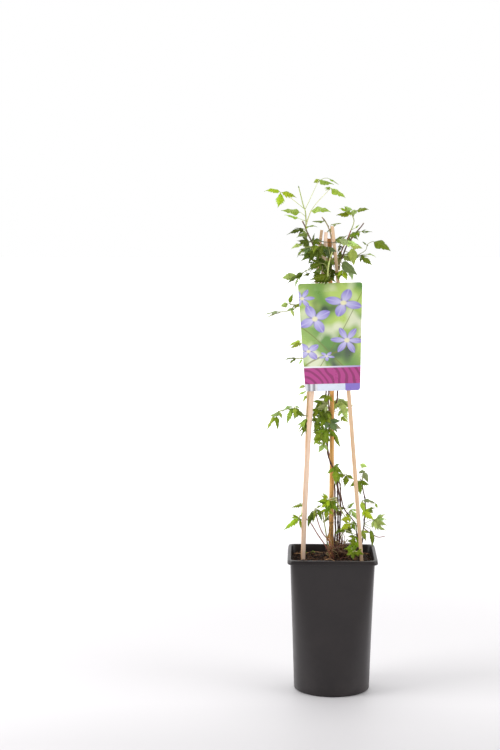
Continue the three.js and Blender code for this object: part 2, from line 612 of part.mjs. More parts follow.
      [[[-66, 9.8, 601.8], [-67.5, 12, 602]], [-63, 10, 618], 20, 0, 28],
      [[[-52, 8.6, 599], [-52, 9, 603.5]], [-60.5, 7, 595], 30, 0, 44],
      [[[-56, 9, 600], [-58, 12, 592.5]], [-71, 13, 590], 50, 0, 30],
      [[[-60, 9.4, 600.6], [-66, 13, 593], [-80.5, 16, 590]], [-106, 20, 584.5], 40, 0, 13],
      [[[-60, 9.4, 600.6], [-66, 14, 592], [-82, 18, 588.5]], [-103.5, 22, 578.5], 50, 0, 13],
      [[[-26, 3, 586], [-38, 9, 562], [-47, 7, 543]], [-68, 5, 537], 40, 0, 24],
      [[[-25.5, 3, 585.6], [-36, 4, 561], [-48.5, 2, 542]], [-67, -1, 533], 40, 0.4, 24],
    ],
  },
  leaves_card_foot: {
    stems: [
      [[[-6.8, 6.4, 488], [-20, 4, 500], [-36, 2, 512], [-50, 9, 519]], 1, 0.8],
    ],
    leaves: [
      [[[-48, 8, 518], [-55.5, 10, 517.5]], [-76, 14, 513], 60, 0, 12],
      [[[-48, 8, 518], [-57.5, 9, 516.5]], [-67.5, 8, 508.5], 30, 0, 32],
      [[[-30, 3, 507], [-34, 6, 486], [-42.5, 4, 475.5]], [-53.5, 1, 471], 30, 0, 40],
      [[[-33, 5.4, 490], [-37, 6, 476], [-41.5, 3, 467.5]], [-54, -1, 461.5], 30, 0, 40],
      [[[-34, 6, 487], [-38, 9, 472], [-40.5, 7, 461.5]], [-45.5, 5, 449.5], 20, 0, 38],
    ],
  },
  crown_left: {
    stems: [
      [[[-12.6, 3.6, 650], [-16, 3, 662], [-22, 1, 678], [-34, -4, 700], [-41, -6, 715],
        [-48, -7, 730]], 1.4, 1],
      [[[-42, -6, 716], [-43.5, -8, 745], [-46, -9, 752], [-53, -10, 779]], 1, 0.8],
    ],
    leaves: [
      [[[-44.4, -8.6, 748], [-66, -8, 765], [-81, -8, 775]], [-84, -20, 751.5], 0, 0.92, 80],
      [[[-44, -8.4, 747], [-34, -10, 768], [-23, -10, 791]], [-0.5, -13, 785.5], 40, 0, 44],
      [[[-23.4, -9, 790.4], [-14, -5, 795], [-9, -4, 795]], [7, -8, 785], 40, 0, 16],
      [[[-42.4, -6.6, 722], [-33, -3, 748], [-8, 1, 778]], [17, -2, 766], 40, 0.35, 50],
      [[[-12, 1, 777], [-9, 4, 780]], [-16.5, 2, 783.5], 50, 0, 50],
      [[[-43.4, -7.6, 737], [-50.5, -13, 743.5]], [-80.5, -16, 746], 30, 0, 40],
      [[[-43, -7, 730], [-53, -4, 737]], [-76, -2, 740], 14, 0, 26],
      [[[-42.6, -7, 726], [-38, -9, 738], [-35, -10, 745]], [-5, -16, 745], 46, 0.6, 30],
      [[[-39, -5.4, 711], [-45.5, -12, 718]], [-72, -20, 708.5], 46, 0.5, 30],
      [[[-41, -6, 714], [-44, -13, 718.5]], [-24.5, -17, 720.5], 40, 0, 20],
      [[[-34, -4, 700], [-37.5, -13, 697]], [-56.5, -21, 700], 50, 0.8, 44],
      [[[-33, -3.6, 698], [-47, -7, 695]], [-65, -12, 687], 40, 0, 34],
      [[[-30, -2.4, 692], [-44.5, 1, 688.5]], [-56, -4, 674], 30, 0.5, 32],
      [[[-25, -0.4, 683], [-33, -12, 679.5]], [-51, -19, 668], 50, 0.9, 34],
      [[[-34, -4, 700], [-33, -8, 698]], [-29, -10, 711], 0, 0, 50],
      [[[-33, -3.6, 698], [-30, -11, 699]], [-16, -14, 698], 60, 0.6, 50],
      [[[-24, 0, 681], [-26, -14, 693]], [-31, -17, 680], 20],
      [[[-19, 2, 671], [-20.4, -8, 684], [-18, -20, 693]], [-18, -23, 676], 0, 0.7, 50],
      [[[-22, 1, 677], [-27, -8, 680], [-29, -12, 684]], [-37, -17, 669], 60, 0.8, 50],
      [[[-14, 3.4, 657], [-30, -2, 656], [-45, -8, 653.5]], [-72, -14, 634], 30, 0, 20],
      [[[-38, -5.4, 656.4], [-52, 2, 646.5]], [-84.5, -2, 643.5], 34, 0.3, 33],
      [[[-42, -3.6, 654.6], [-51.5, 7, 646]], [-56, 5, 624], 0, 0.5, 40],
      [[[-33, -3.3, 656.1], [-36.5, -10, 650]], [-47.5, -15, 646], 60, 0.6, 34],
      [[[-25, -0.4, 683], [-34, 11, 690]], [-48, 21, 680], -40],
      [[[-36, -4.6, 704], [-42, 8, 712]], [-57, 16, 704], -40],
    ],
  },
  crown_right: {
    stems: [
      [[[7.8, 3.6, 655], [10, 2, 667], [22, -2, 694], [46, -6, 727]], 1.3, 0.9],
      [[[8.6, 3.4, 660], [10, 5, 675], [13.8, 6, 687], [21, 8, 701], [27, 9, 716]], 1.1, 0.9],
      [[[26.6, 9, 715], [30, 9, 723], [31.5, 9, 731], [27, 7, 742]], 0.8, 0.7],
    ],
    leaves: [
      [[[30.2, 8.8, 737], [35, 7, 746]], [53.5, 0, 748], 50, 0, 24],
      [[[29.4, 8.6, 738.6], [36, 9, 746.5]], [25, 4, 737], 60, 0, 46],
      [[[27.6, 7.4, 741.4], [25, 5, 743]], [2.5, 0, 739], 50, 0, 24],
      [[[27.4, 7, 741.6], [17.5, 2, 747.5]], [6.5, -2, 748], 40, 0],
      [[[27.2, 7.2, 742], [28.5, 9, 747.5]], [16, 8, 752], 50, 0, 36],
      [[[27, 9, 716], [33, 4, 719]], [40, 2, 724], 40, 0, 40],
      [[[9.6, 3, 664], [7, 3, 685], [12.5, 1, 698]], [41.5, -10, 689], 50, 0.35, 28],
      [[[10.4, 2.6, 668], [9, 5, 688], [11, 6, 699.5]], [22, 2, 708], 50, 0.4, 44],
      [[[34, -4, 711], [42.5, -7, 714]], [59, -11, 713.5], 36, 0.5, 34],
      [[[35, -4.4, 712], [40.5, -10, 714]], [23, -15, 705], 60, 0.35, 32],
      [[[17, -0.6, 684], [28, 3, 680], [41, 1, 675]], [60, -6, 661], 50, 0.3, 32],
      [[[28, 3, 680], [41, 4, 676.5]], [54, -1, 676], 50, 0.4, 30],
      [[[36.4, 1.8, 677], [49.5, 2, 685.5], [52.5, 0, 694.5],
        [57.5, -3, 697.5]], [85.5, -9, 686.5], 60, 0, 33],
      [[[26, -2.6, 700], [27, -8, 689]], [31, -15, 662], 14, 0, 44],
      [[[9.4, 2.6, 664], [11, -7, 672], [12.5, -12, 668]], [36.5, -20, 647.5], 60, 0, 29],
      [[[13.6, 6, 686], [12, 8, 692]], [7, 6, 681], 20, 0.6],
      [[[8.6, 3.2, 661], [10, -8, 664], [15, -13, 656]], [20.5, -19, 638.5], 40, 0.8, 50],
      [[[13, 1, 674], [16, 14, 678]], [29, 27, 666], -40],
      [[[21, 8, 701], [24, 18, 708]], [39, 28, 700], -40],
    ],
  },
  crown_back: {
    stems: [
      [[[-5.8, 9.4, 676], [-4, 10, 690], [-3, 9.4, 700], [-4.3, 8, 711], [-8, 7, 722],
        [-18, 6, 736]], 1.2, 0.8],
    ],
    leaves: [
      [[[-8, 7, 722], [-14, 5, 730]], [-33, 2, 729], 12, 0],
      [[[-4.6, 8, 713], [-4, 7, 724]], [12, 4, 726], 16, 0],
      [[[-5, 9.8, 684], [-12, 20, 692]], [-26, 32, 682], -40],
      [[[-3.8, 10, 693], [4, 20, 702]], [15, 33, 693], -40],
      [[[-4, 8.4, 708], [-4, 18, 718]], [-2, 33, 716], -40],
      [[[-5.4, 9.6, 680], [4, 20, 676]], [10, 32, 660], -40],
      [[[-5.2, 9.6, 684], [-15, 18, 676]], [-26, 30, 660], -40],
    ],
  },
};

function shoot({ stems, leaves }, grow = 0) {
  const wood = stems.map(([route, from, to]) => {
    const steps = Math.max(4, route.length);
    return stem(route, steps, 4, from, to, grow);
  });
  return joined([...wood, ...leaves.map((row) => leaf(row, grow))]);
}

// ---- Assembly -----------------------------------------------------------------------------------
const MATERIALS = {
  black_plastic: { color: "#33302f", roughness: 0.45 },
  potting_soil: { color: "#3a2a20", roughness: 1 },
  round_bamboo: { color: "#d39a45", roughness: 0.6 },
  split_bamboo: { color: "#e4c1a4", roughness: 0.7 },
  coated_wire: { color: "#1f3b24", roughness: 0.4 },
  printed_card: { color: "#b9a6d8", roughness: 0.3 },
  clematis: { color: "#5c8f2c", roughness: 0.6 },
};
const materials = {};
for (const [name, look] of Object.entries(MATERIALS)) {
  materials[name] = new THREE.MeshStandardMaterial({ name, ...look });
}

const group = new THREE.Group();
group.name = "clematis";

function addMesh(name, shape, material) {
  const { vertProperties, triVerts } = shape.getMesh();
  const geometry = new THREE.BufferGeometry();
  geometry.setAttribute("position", new THREE.BufferAttribute(Float32Array.from(vertProperties), 3));
  geometry.setIndex(new THREE.BufferAttribute(Uint32Array.from(triVerts), 1));
  geometry.computeVertexNormals();
  const mesh = new THREE.Mesh(geometry, materials[material]);
  mesh.name = name;
  group.add(mesh);
}

// The largest piece that is left of a shape clear of its neighbours.
function clearOf(shape, neighbours) {
  const pieces = neighbours.reduce((left, other) => left.subtract(other), shape).decompose();
  return pieces.sort((a, b) => b.volume() - a.volume())[0];
}

const canes = { cane_middle: roundCane, ...SPLIT_CANES };
const caneShape = (name, grow) =>
  name === "cane_middle" ? roundCane(grow) : splitCane(SPLIT_CANES[name], grow);
const fatCanes = Object.keys(canes).map((name) => caneShape(name, CLEARANCE));
const fatShoots = [];
addMesh("pot", pot(), "black_plastic");
for (const name of Object.keys(canes)) {
  addMesh(name, caneShape(name, 0), name === "cane_middle" ? "round_bamboo" : "split_bamboo");
}
addMesh("wire_tie", clearOf(wireTie(), fatCanes), "coated_wire");
addMesh("plant_card", clearOf(plantCard(), fatCanes), "printed_card");

const fixed = [...fatCanes, wireTie(CLEARANCE), plantCard(CLEARANCE)];
for (const [name, parts] of Object.entries(SHOOTS)) {
  addMesh(name, clearOf(shoot(parts), [...fixed, ...fatShoots]), "clematis");
  fatShoots.push(shoot(parts, CLEARANCE));
}
addMesh("soil", clearOf(soil(), [pot(CLEARANCE), ...fatCanes, ...fatShoots]), "potting_soil");

export default group;
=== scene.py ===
import math
import random

import bmesh
import bpy
from mathutils import Matrix, Vector, noise


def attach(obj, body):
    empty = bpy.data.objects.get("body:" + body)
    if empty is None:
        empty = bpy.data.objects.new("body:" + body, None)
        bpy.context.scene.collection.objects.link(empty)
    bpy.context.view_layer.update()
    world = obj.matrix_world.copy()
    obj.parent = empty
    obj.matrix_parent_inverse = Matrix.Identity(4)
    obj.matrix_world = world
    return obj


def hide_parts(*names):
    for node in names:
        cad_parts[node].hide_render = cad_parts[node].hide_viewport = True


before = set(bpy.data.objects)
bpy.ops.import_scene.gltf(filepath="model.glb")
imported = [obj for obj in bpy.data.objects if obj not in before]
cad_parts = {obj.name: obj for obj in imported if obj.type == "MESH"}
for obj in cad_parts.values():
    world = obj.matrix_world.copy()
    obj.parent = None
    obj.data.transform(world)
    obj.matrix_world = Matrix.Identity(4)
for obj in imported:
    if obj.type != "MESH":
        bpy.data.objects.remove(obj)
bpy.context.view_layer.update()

# ---- Studio --------------------------------------------------------------------------------------
# A white sweep, lit from behind and from both sides, in a studio that is dim behind the camera. The
# sweep's own surface also glows as painted light away from the pot, and is painted darker towards
# the camera as painted shade. The camera stands two and a half metres off and looks a little down
# on the pot's rim.
EYE = (-0.0466, -2.5348, 0.7294)  # metres
LOOK_DOWN, LOOK_LEFT = 0.0932, 0.0322  # radians
AIM = Vector((0, 0, 0.35))  # what the soft boxes point at
FLOOR_HALF = 30
FLOOR_DROP = 0.0004  # under the pot's base, so that the two don't share a plane

scene = bpy.context.scene
scene.view_settings.view_transform = "Standard"

camera = bpy.data.objects.new("camera", bpy.data.cameras.new("camera"))
camera.data.sensor_width = 36
camera.data.lens = 78.92
camera.location = EYE
camera.rotation_euler = (math.pi / 2 - LOOK_DOWN, 0, LOOK_LEFT)
scene.collection.objects.link(camera)
scene.camera = camera


def node(tree, kind, inputs, output=0, **settings):
    """Adds a shader node, sets or links its inputs, and returns one of its outputs."""
    made = tree.nodes.new("ShaderNode" + kind)
    for key, value in settings.items():
        setattr(made, key, value)
    for key, value in inputs.items():
        if isinstance(value, bpy.types.NodeSocket):
            tree.links.new(value, made.inputs[key])
        else:
            made.inputs[key].default_value = value
    return made.outputs[output]


def maths(tree, operation, *values):
    return node(tree, "Math", dict(enumerate(values)), operation=operation)


def spread(tree, value, low, high, to_low=0.0, to_high=1.0):
    """Stretches the part of a value between low and high over a new range."""
    return node(tree, "MapRange", {0: value, 1: low, 2: high, 3: to_low, 4: to_high})


def times(tree, first, second):
    return maths(tree, "MULTIPLY", first, second)


def apart(tree, first, second):
    return maths(tree, "ABSOLUTE", maths(tree, "SUBTRACT", first, second))


def axis(tree, place, letter):
    return node(tree, "SeparateXYZ", {0: place}, output=letter)


def object_place(tree):
    return node(tree, "TexCoord", {}, output="Object")


def plain_material(name, **values):
    """A material with plain values on its shader's own sockets."""
    made = bpy.data.materials.new(name)
    made.use_nodes = True
    sockets = made.node_tree.nodes["Principled BSDF"].inputs
    for title, value in values.items():
        sockets[title.replace("_", " ")].default_value = value
    return made, made.node_tree


def feed(tree, **outputs):
    """Links outputs of other nodes to a material's own shader."""
    sockets = tree.nodes["Principled BSDF"].inputs
    for title, output in outputs.items():
        tree.links.new(output, sockets[title.replace("_", " ")])


def place_mesh(bm, name):
    """The finished mesh as an object of the scene."""
    mesh = bpy.data.meshes.new(name)
    bm.to_mesh(mesh)
    bm.free()
    made = bpy.data.objects.new(name, mesh)
    scene.collection.objects.link(made)
    return made


sky = bpy.data.worlds.new("studio walls")
sky.use_nodes = True
tree = sky.node_tree
heading = axis(tree, node(tree, "TexCoord", {}, output="Generated"), "Y")
glow = spread(tree, heading, -0.75, 0.35, 0.25, 1.0)
seen = node(tree, "LightPath", {}, output="Is Camera Ray")
tree.links.new(maths(tree, "MAXIMUM", glow, seen), tree.nodes["Background"].inputs["Color"])
scene.world = sky

for name, place, aim, size, power in (
    ("soft box left", (-1.7, -0.6, 1.3), AIM, 1.2, 26),
    ("soft box right", (1.7, -0.6, 1.1), AIM, 1.2, 14),
    ("sweep light", (0, 2.2, 2.4), Vector((0, 2.2, 0)), 3.0, 34),
):
    lamp = bpy.data.lights.new(name, "AREA")
    lamp.size = size
    lamp.energy = power
    box = bpy.data.objects.new(name, lamp)
    box.location = place
    box.rotation_euler = (aim - box.location).to_track_quat("-Z", "Y").to_euler()
    scene.collection.objects.link(box)

bm = bmesh.new()
bmesh.ops.create_grid(bm, x_segments=1, y_segments=1, size=FLOOR_HALF)
bmesh.ops.translate(bm, verts=bm.verts, vec=(0, 0, -FLOOR_DROP))
floor = place_mesh(bm, "floor")
white, tree = plain_material("white sweep", Roughness=0.55, Emission_Strength=1.0)
place = object_place(tree)
# Painted shade: the sweep's colour darkens towards the camera, as if its light fell off there.
near = spread(tree, axis(tree, place, "Y"), -0.3, -0.1, 0.87, 1)
# Painted light: the sweep glows more the further it is from the pot, so that the far floor stays
# white.
away = node(tree, "VectorMath", {0: place}, output="Value", operation="LENGTH")
feed(
    tree,
    Base_Color=node(tree, "VectorMath", {0: (0.73, 0.715, 0.73), "Scale": near}, operation="SCALE"),
    Emission_Color=node(
        tree, "MapRange", {0: away, 1: 0.3, 2: 2.6, 3: 0.0, 4: 0.8}, interpolation_type="SMOOTHSTEP"
    ),
)
floor.data.materials.append(white)

# ---- Nursery pot ---------------------------------------------------------------------------------
# A deep injection-moulded pot of thin charcoal plastic. The square rim has a turned-down lip, and
# the walls turn from square to round towards the base, which has six drain holes.
MM = 0.001
POT_HEIGHT = 214.5
POT_BASE_HALF = 59
POT_WALL_HALF = 65.2  # half the wall's width at the rim
POT_RIM_HALF = 69.5
POT_WALL = 1.6
LIP_FOOT = 208
SQUARENESS = 16  # exponent of the rim's rounded square
DRAIN_HOLES = 6
HOLE_RADIUS = 4.5
HOLE_CIRCLE = 43  # radius of the circle that the holes stand on


def mix(a, b, t):
    return a + (b - a) * t


def pot_ring(height, half, squareness, sides=128):
    """A level of the pot: a circle that turns into a square with round corners."""
    power = 2 / mix(1, 2 / SQUARENESS, squareness)
    ring = []
    for i in range(sides):
        angle = 2 * math.pi * i / sides
        angle += 0.15 * math.sin(4 * angle)  # closer steps at the corners
        c, s = math.cos(angle), math.sin(angle)
        radius = half / (abs(c) ** power + abs(s) ** power) ** (1 / power)
        ring.append(Vector((radius * c, radius * s, height)) * MM)
    return ring


def wall_ring(height, inset, sides=128):
    share = height / POT_HEIGHT
    return pot_ring(height, mix(POT_BASE_HALF, POT_WALL_HALF, share) - inset, share**0.9, sides)


def loft(bm, rings):
    """Extrudes a closed loop of edges from ring to ring, and returns its corners ring by ring."""
    rows = [bmesh.ops.create_circle(bm, segments=len(rings[0]), radius=1)["verts"]]
    edges = list({edge for corner in rows[0] for edge in corner.link_edges})
    for _ in rings[1:]:
        grown = bmesh.ops.extrude_edge_only(bm, edges=edges)["geom"]
        fresh = {part for part in grown if isinstance(part, bmesh.types.BMVert)}
        edges = [
            part
            for part in grown
            if isinstance(part, bmesh.types.BMEdge) and fresh.issuperset(part.verts)
        ]
        rows.append([
            next(e.other_vert(corner) for e in corner.link_edges if e.other_vert(corner) in fresh)
            for corner in rows[-1]
        ])
    for row, ring in zip(rows, rings):
        for corner, place in zip(row, ring):
            corner.co = place
    return rows


def cap(bm, *rows):
    for row in rows:
        bmesh.ops.contextual_create(bm, geom=row)


def shade(bm, sharp=0.7):
    """Smooth faces, with a crease where two of them meet at more than the sharp angle."""
    bmesh.ops.recalc_face_normals(bm, faces=bm.faces)
    for face in bm.faces:
        face.smooth = True
    for edge in bm.edges:
        edge.smooth = edge.calc_face_angle(0) < sharp


def add_piece(bm, name, material, slot, *nodes):
    """The finished mesh as a piece of the plant that stands for the named solids."""
    piece = place_mesh(bm, name)
    piece.data.materials.append(material)
    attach(piece, "root")
    if nodes:
        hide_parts(*nodes)
    return piece


def paint(red, green, blue):
    """A screen colour from 0 to 255 as the linear colour that a shader takes."""
    return tuple(
        (v / 255 / 12.92 if v < 10.5 else ((v / 255 + 0.055) / 1.055) ** 2.4)
        for v in (red, green, blue)
    ) + (1,)


def blend_colours(tree, share, first, second, how="MIX"):
    return node(
        tree, "Mix", {0: share, 6: first, 7: second}, output=2, data_type="RGBA", blend_type=how
    )


def layered(tree, colour, *coats):
    """A colour with coats over it, each as far as its mask goes. A coat is (mask, colour)."""
    for mask, over in coats:
        colour = blend_colours(tree, mask, colour, over)
    return colour


def tinted(tree, value, low, dark, high, light):
    """The mesh's own tint times a shade, which runs from dark to light as the value rises."""
    tint = node(tree, "Attribute", {}, output="Color", attribute_name="tint")
    shades = node(tree, "ValToRGB", {0: value})
    for stop, place, colour in zip(shades.node.color_ramp.elements, (low, high), (dark, light)):
        stop.position, stop.color = place, (*colour, 1)
    return blend_colours(tree, 1.0, tint, shades, how="MULTIPLY")


def bump(tree, height, strength, distance):
    return node(tree, "Bump", {"Height": height, "Strength": strength, "Distance": distance})


def new_group(name, inputs, outputs):
    """An empty shader node group with float or vector inputs and float outputs."""
    group = bpy.data.node_groups.new(name, "ShaderNodeTree")
    for title, kind, value in inputs:
        socket = group.interface.new_socket(title, in_out="INPUT", socket_type="NodeSocket" + kind)
        if value is not None:
            socket.default_value = value
    for title in outputs:
        group.interface.new_socket(title, in_out="OUTPUT", socket_type="NodeSocketFloat")
    return group, group.nodes.new("NodeGroupInput"), group.nodes.new("NodeGroupOutput")


def use_group(tree, group, inputs):
    """Adds a node group, sets or links its inputs, and returns all its outputs."""
    return tuple(node(tree, "Group", inputs, node_tree=group).node.outputs)


# Soft blotches with a finer mottle in them, as on moulded plastic, soil, bamboo skin and leaves.
mottle, mottle_in, mottle_out = new_group(
    "mottle", [("Place", "Vector", None), ("Scale", "Float", 100.0)], ["Blotch", "Fine"]
)
mottle.links.new(
    node(mottle, "TexNoise", {
        "Vector": mottle_in.outputs["Place"], "Scale": mottle_in.outputs["Scale"],
        "Detail": 4.0, "Roughness": 0.6,
    }),
    mottle_out.inputs["Blotch"],
)
mottle.links.new(
    node(mottle, "TexNoise", {
        "Vector": mottle_in.outputs["Place"],
        "Scale": times(mottle, mottle_in.outputs["Scale"], 9.0),
        "Detail": 3.0, "Roughness": 0.7,
    }),
    mottle_out.inputs["Fine"],
)


def mottled(tree, place, scale):
    """The mottle group's two masks at a place, the soft one and the fine one."""
    return use_group(tree, mottle, {"Place": place, "Scale": scale})


charcoal, tree = plain_material("charcoal plastic", Specular_IOR_Level=0.5)
place = object_place(tree)
blotch, fine = mottled(tree, place, 22.0)
low_down = spread(tree, axis(tree, place, "Z"), 0.03, 0.0)
dust = times(
    tree, spread(tree, blotch, 0.42, 0.75), maths(tree, "MULTIPLY_ADD", low_down, 0.16, 0.05)
)
feed(
    tree,
    Base_Color=blend_colours(tree, dust, paint(32, 26, 27), paint(106, 94, 92)),
    Roughness=spread(tree, blotch, 0.3, 0.7, 0.33, 0.44),
    Normal=bump(tree, fine, 0.12, 0.0004),
)

bm = bmesh.new()
rows = loft(bm, [
    pot_ring(0, POT_BASE_HALF - 2.4, 0),
    pot_ring(0.3, POT_BASE_HALF - 1.1, 0),
    pot_ring(0.9, POT_BASE_HALF - 0.3, 0),
    *(wall_ring(z, 0) for z in (1.8, 12, 26, 40, 56, 72, 90, 108, 126, 144, 162, 180, 194, 203)),
    wall_ring(LIP_FOOT, 0),
    pot_ring(LIP_FOOT - 0.1, POT_RIM_HALF - 1.4, 1),
    pot_ring(LIP_FOOT + 0.1, POT_RIM_HALF - 0.5, 1),
    pot_ring(LIP_FOOT + 0.8, POT_RIM_HALF, 1),
    pot_ring(LIP_FOOT + 4, POT_RIM_HALF - 0.4, 1),
    pot_ring(POT_HEIGHT - 1, POT_RIM_HALF - 0.9, 1),
    pot_ring(POT_HEIGHT - 0.3, POT_RIM_HALF - 1.3, 1),
    pot_ring(POT_HEIGHT, POT_RIM_HALF - 2, 1),
    pot_ring(POT_HEIGHT, POT_RIM_HALF - 5.2, 1),
    pot_ring(POT_HEIGHT - 0.5, POT_RIM_HALF - 5.7, 1),
    wall_ring(POT_HEIGHT - 1.6, POT_WALL),
    *(wall_ring(z, POT_WALL) for z in (203, 180, 144, 108, 72, 40, 18, 6)),
    wall_ring(3.2, POT_WALL + 1.2),
    pot_ring(2, POT_BASE_HALF - POT_WALL - 3, 0),
])
cap(bm, rows[0], rows[-1])
shade(bm)
pot = add_piece(bm, "nursery_pot", charcoal, "black_plastic", "pot")

bm = bmesh.new()
for i in range(DRAIN_HOLES):
    angle = 2 * math.pi * (i + 0.5) / DRAIN_HOLES
    bmesh.ops.create_cone(
        bm, cap_ends=True, segments=24, depth=10 * MM,
        radius1=HOLE_RADIUS * MM, radius2=HOLE_RADIUS * MM,
        matrix=Matrix.Translation(
            (HOLE_CIRCLE * MM * math.cos(angle), HOLE_CIRCLE * MM * math.sin(angle), 0)
        ),
    )
drill = place_mesh(bm, "drill")
holes = pot.modifiers.new("drain holes", "BOOLEAN")
holes.object = drill
bpy.context.view_layer.update()
drilled = bpy.data.meshes.new_from_object(pot.evaluated_get(bpy.context.evaluated_depsgraph_get()))
pot.modifiers.clear()
pot.data = drilled
bpy.data.objects.remove(drill)

# ---- Potting soil --------------------------------------------------------------------------------
# Dark peat with bark fines, filled to a finger's width below the rim and a little mounded round the
# plant. Crumbs, bark chips, pale straws and root threads lie loose on top, and two sprouts show.
SOIL_LEVEL = 201
SOIL_MOUND = 6
SOIL_HALF = 62
SOIL_GAP = 0.35  # between the soil and the pot's wall
SOIL_SIDES = 96
SOIL_RINGS = 34  # from the wall to the middle
PEAT = Vector((56, 41, 33))
LOOSE_HALF = 61  # half the width of the square that crumbs are strewn over
LOOSE_SHARE = 0.97  # of the way to the wall, past which none lie
LOOSE_SEED = 11


def soil_height(x, y, share=0.0):
    """How high the soil stands at a place. The share is 1 at the wall and 0 in the middle."""
    lumps = math.sin(x * 0.31 + 1) * math.cos(y * 0.27) + math.sin((x - y) * 0.17)
    rough = noise.noise(Vector((x, y, 3)) * 0.13) * 1.6 + noise.noise(Vector((x, y, 9)) * 0.4) * 0.9
    calm = 1 - share**6
    return SOIL_LEVEL + SOIL_MOUND * (1 - share**2) + (0.9 * lumps + rough) * calm


peat, tree = plain_material("peat", Roughness=0.95, Specular_IOR_Level=0.2)
blotch, fine = mottled(tree, object_place(tree), 260.0)
feed(
    tree,
    Base_Color=tinted(tree, blotch, 0.3, (0.35, 0.33, 0.32), 0.7, (1.25, 1.2, 1.15)),
    Normal=bump(tree, fine, 0.6, 0.0006),
)

bm = bmesh.new()
tint = bm.verts.layers.float_color.new("tint")
walls = [wall_ring(3.9, POT_WALL + 2.2, SOIL_SIDES)]
walls += [wall_ring(z, POT_WALL + SOIL_GAP, SOIL_SIDES) for z in (8, 40, 90, 150)]
edge = wall_ring(SOIL_LEVEL, POT_WALL + SOIL_GAP, SOIL_SIDES)
tops = []
for k in range(SOIL_RINGS):
    share = 1 - k / SOIL_RINGS
    ring = []
    for p in edge:
        x, y = p.x / MM * share, p.y / MM * share
        ring.append(Vector((x, y, soil_height(x, y, share))) * MM)
    tops.append(ring)
rows = loft(bm, walls + tops)
cap(bm, rows[0], rows[-1])
for corner in bm.verts:
    corner[tint] = paint(*PEAT * mix(0.7, 1.15, noise.noise(corner.co * 300) + 0.5))
shade(bm, 1.2)
add_piece(bm, "soil", peat, "potting_soil", "soil")


def soil_share(x, y):
    """How near a place is to the wall, from 0 in the middle to 1 at the wall."""
    return sum(abs(v / SOIL_HALF) ** SQUARENESS for v in (x, y)) ** (1 / SQUARENESS)


def scatter(bm, draw, count, size, flat, colours, tint):
    """Strews loose bits over the soil: flattened, turned, uneven pebbles of a few faces each."""
    for _ in range(count):
        x, y = draw.uniform(-LOOSE_HALF, LOOSE_HALF), draw.uniform(-LOOSE_HALF, LOOSE_HALF)
        share = soil_share(x, y)
        if share > LOOSE_SHARE:
            continue
        across = draw.uniform(*size)
        turn = Matrix.Rotation(draw.uniform(0, math.pi), 4, "Z") @ Matrix.Rotation(
            draw.uniform(-0.6, 0.6), 4, "X"
        )
        stretch = Matrix.Diagonal((across, across * draw.uniform(0.35, 0.8), across * flat, 1))
        z = soil_height(x, y, share) + across * flat * 0.3
        made = bmesh.ops.create_icosphere(
            bm, subdivisions=1, radius=MM,
            matrix=Matrix.Translation(Vector((x, y, z)) * MM) @ turn @ stretch,
        )["verts"]
        shade_of = draw.uniform(0.6, 1.3)
        colour = paint(*(min(250, v * shade_of) for v in draw.choice(colours)))
        for corner in made:
            corner.co += noise.noise_vector(corner.co * 900) * across * 0.28 * MM
            corner[tint] = colour


bm = bmesh.new()
tint = bm.verts.layers.float_color.new("tint")
draw = random.Random(LOOSE_SEED)
noise.seed_set(LOOSE_SEED)  # or the shapes would differ from run to run
scatter(bm, draw, 1500, (0.6, 2.1), 0.7, [(62, 44, 34), (46, 34, 27), (84, 58, 40)], tint)
scatter(bm, draw, 90, (2.6, 5.5), 0.3, [(96, 66, 46), (70, 48, 36), (122, 88, 60)], tint)
shade(bm, 0.4)
add_piece(bm, "soil_crumbs", peat, "potting_soil")


def smooth_route(points, steps):
    """Evenly spaced points, in metres, on a curve through points given in millimetres."""
    points = [Vector(p) * MM for p in points]
    ends = [2 * points[0] - points[1]] + points + [2 * points[-1] - points[-2]]
    fine = [points[0]]
    for a, b, c, d in zip(ends, ends[1:], ends[2:], ends[3:]):
        t1 = (b - a).length ** 0.5
        t2 = t1 + (c - b).length ** 0.5
        t3 = t2 + (d - c).length ** 0.5
        for k in range(1, 13):
            t = mix(t1, t2, k / 12)
            share = (t - t1) / (t2 - t1)
            ab, bc, cd = a.lerp(b, t / t1), b.lerp(c, share), c.lerp(d, (t - t2) / (t3 - t2))
            fine.append(ab.lerp(bc, t / t2).lerp(bc.lerp(cd, (t - t1) / (t3 - t1)), share))
    reach = [0.0]
    for a, b in zip(fine, fine[1:]):
        reach.append(reach[-1] + (b - a).length)
    even, k = [], 0
    for step in range(steps + 1):
        goal = reach[-1] * step / steps
        while k < len(fine) - 2 and reach[k + 1] < goal:
            k += 1
        span = reach[k + 1] - reach[k]
        even.append(fine[k].lerp(fine[k + 1], (goal - reach[k]) / span if span else 0))
    return even


def grow_rod(bm, route, section, grain=None):
    """A closed rod along a route. section(t) is its outline at t, as (x, y) in millimetres."""
    tangents = [
        (route[min(k + 1, len(route) - 1)] - route[max(k - 1, 0)]).normalized()
        for k in range(len(route))
    ]
    across = Vector((1, 0, 0)) if abs(tangents[0].x) < 0.9 else Vector((0, 1, 0))
    rings = []
    for k, (centre, along) in enumerate(zip(route, tangents)):
        across = (across - along * across.dot(along)).normalized()
        up = along.cross(across)
        rings.append([
            centre + (across * x + up * y) * MM for x, y in section(k / (len(route) - 1))
        ])
    rows = loft(bm, rings)
    if grain:
        spot = {corner: (i, k) for k, row in enumerate(rows) for i, corner in enumerate(row)}
        sides = len(rows[0])
        length = (route[-1] - route[0]).length / (len(route) - 1)
        for face in {face for corner in spot for face in corner.link_faces}:
            seam = {spot[corner][0] for corner in face.verts} >= {0, sides - 1}
            for loop in face.loops:
                i, k = spot[loop.vert]
                loop[grain].uv = ((sides if seam and i == 0 else i) / sides, k * length * 100)
    cap(bm, rows[0], rows[-1])
    return rows


def circle(radius, sides):
    turns = (2 * math.pi * i / sides for i in range(sides))
    return [(radius * math.cos(turn), radius * math.sin(turn)) for turn in turns]


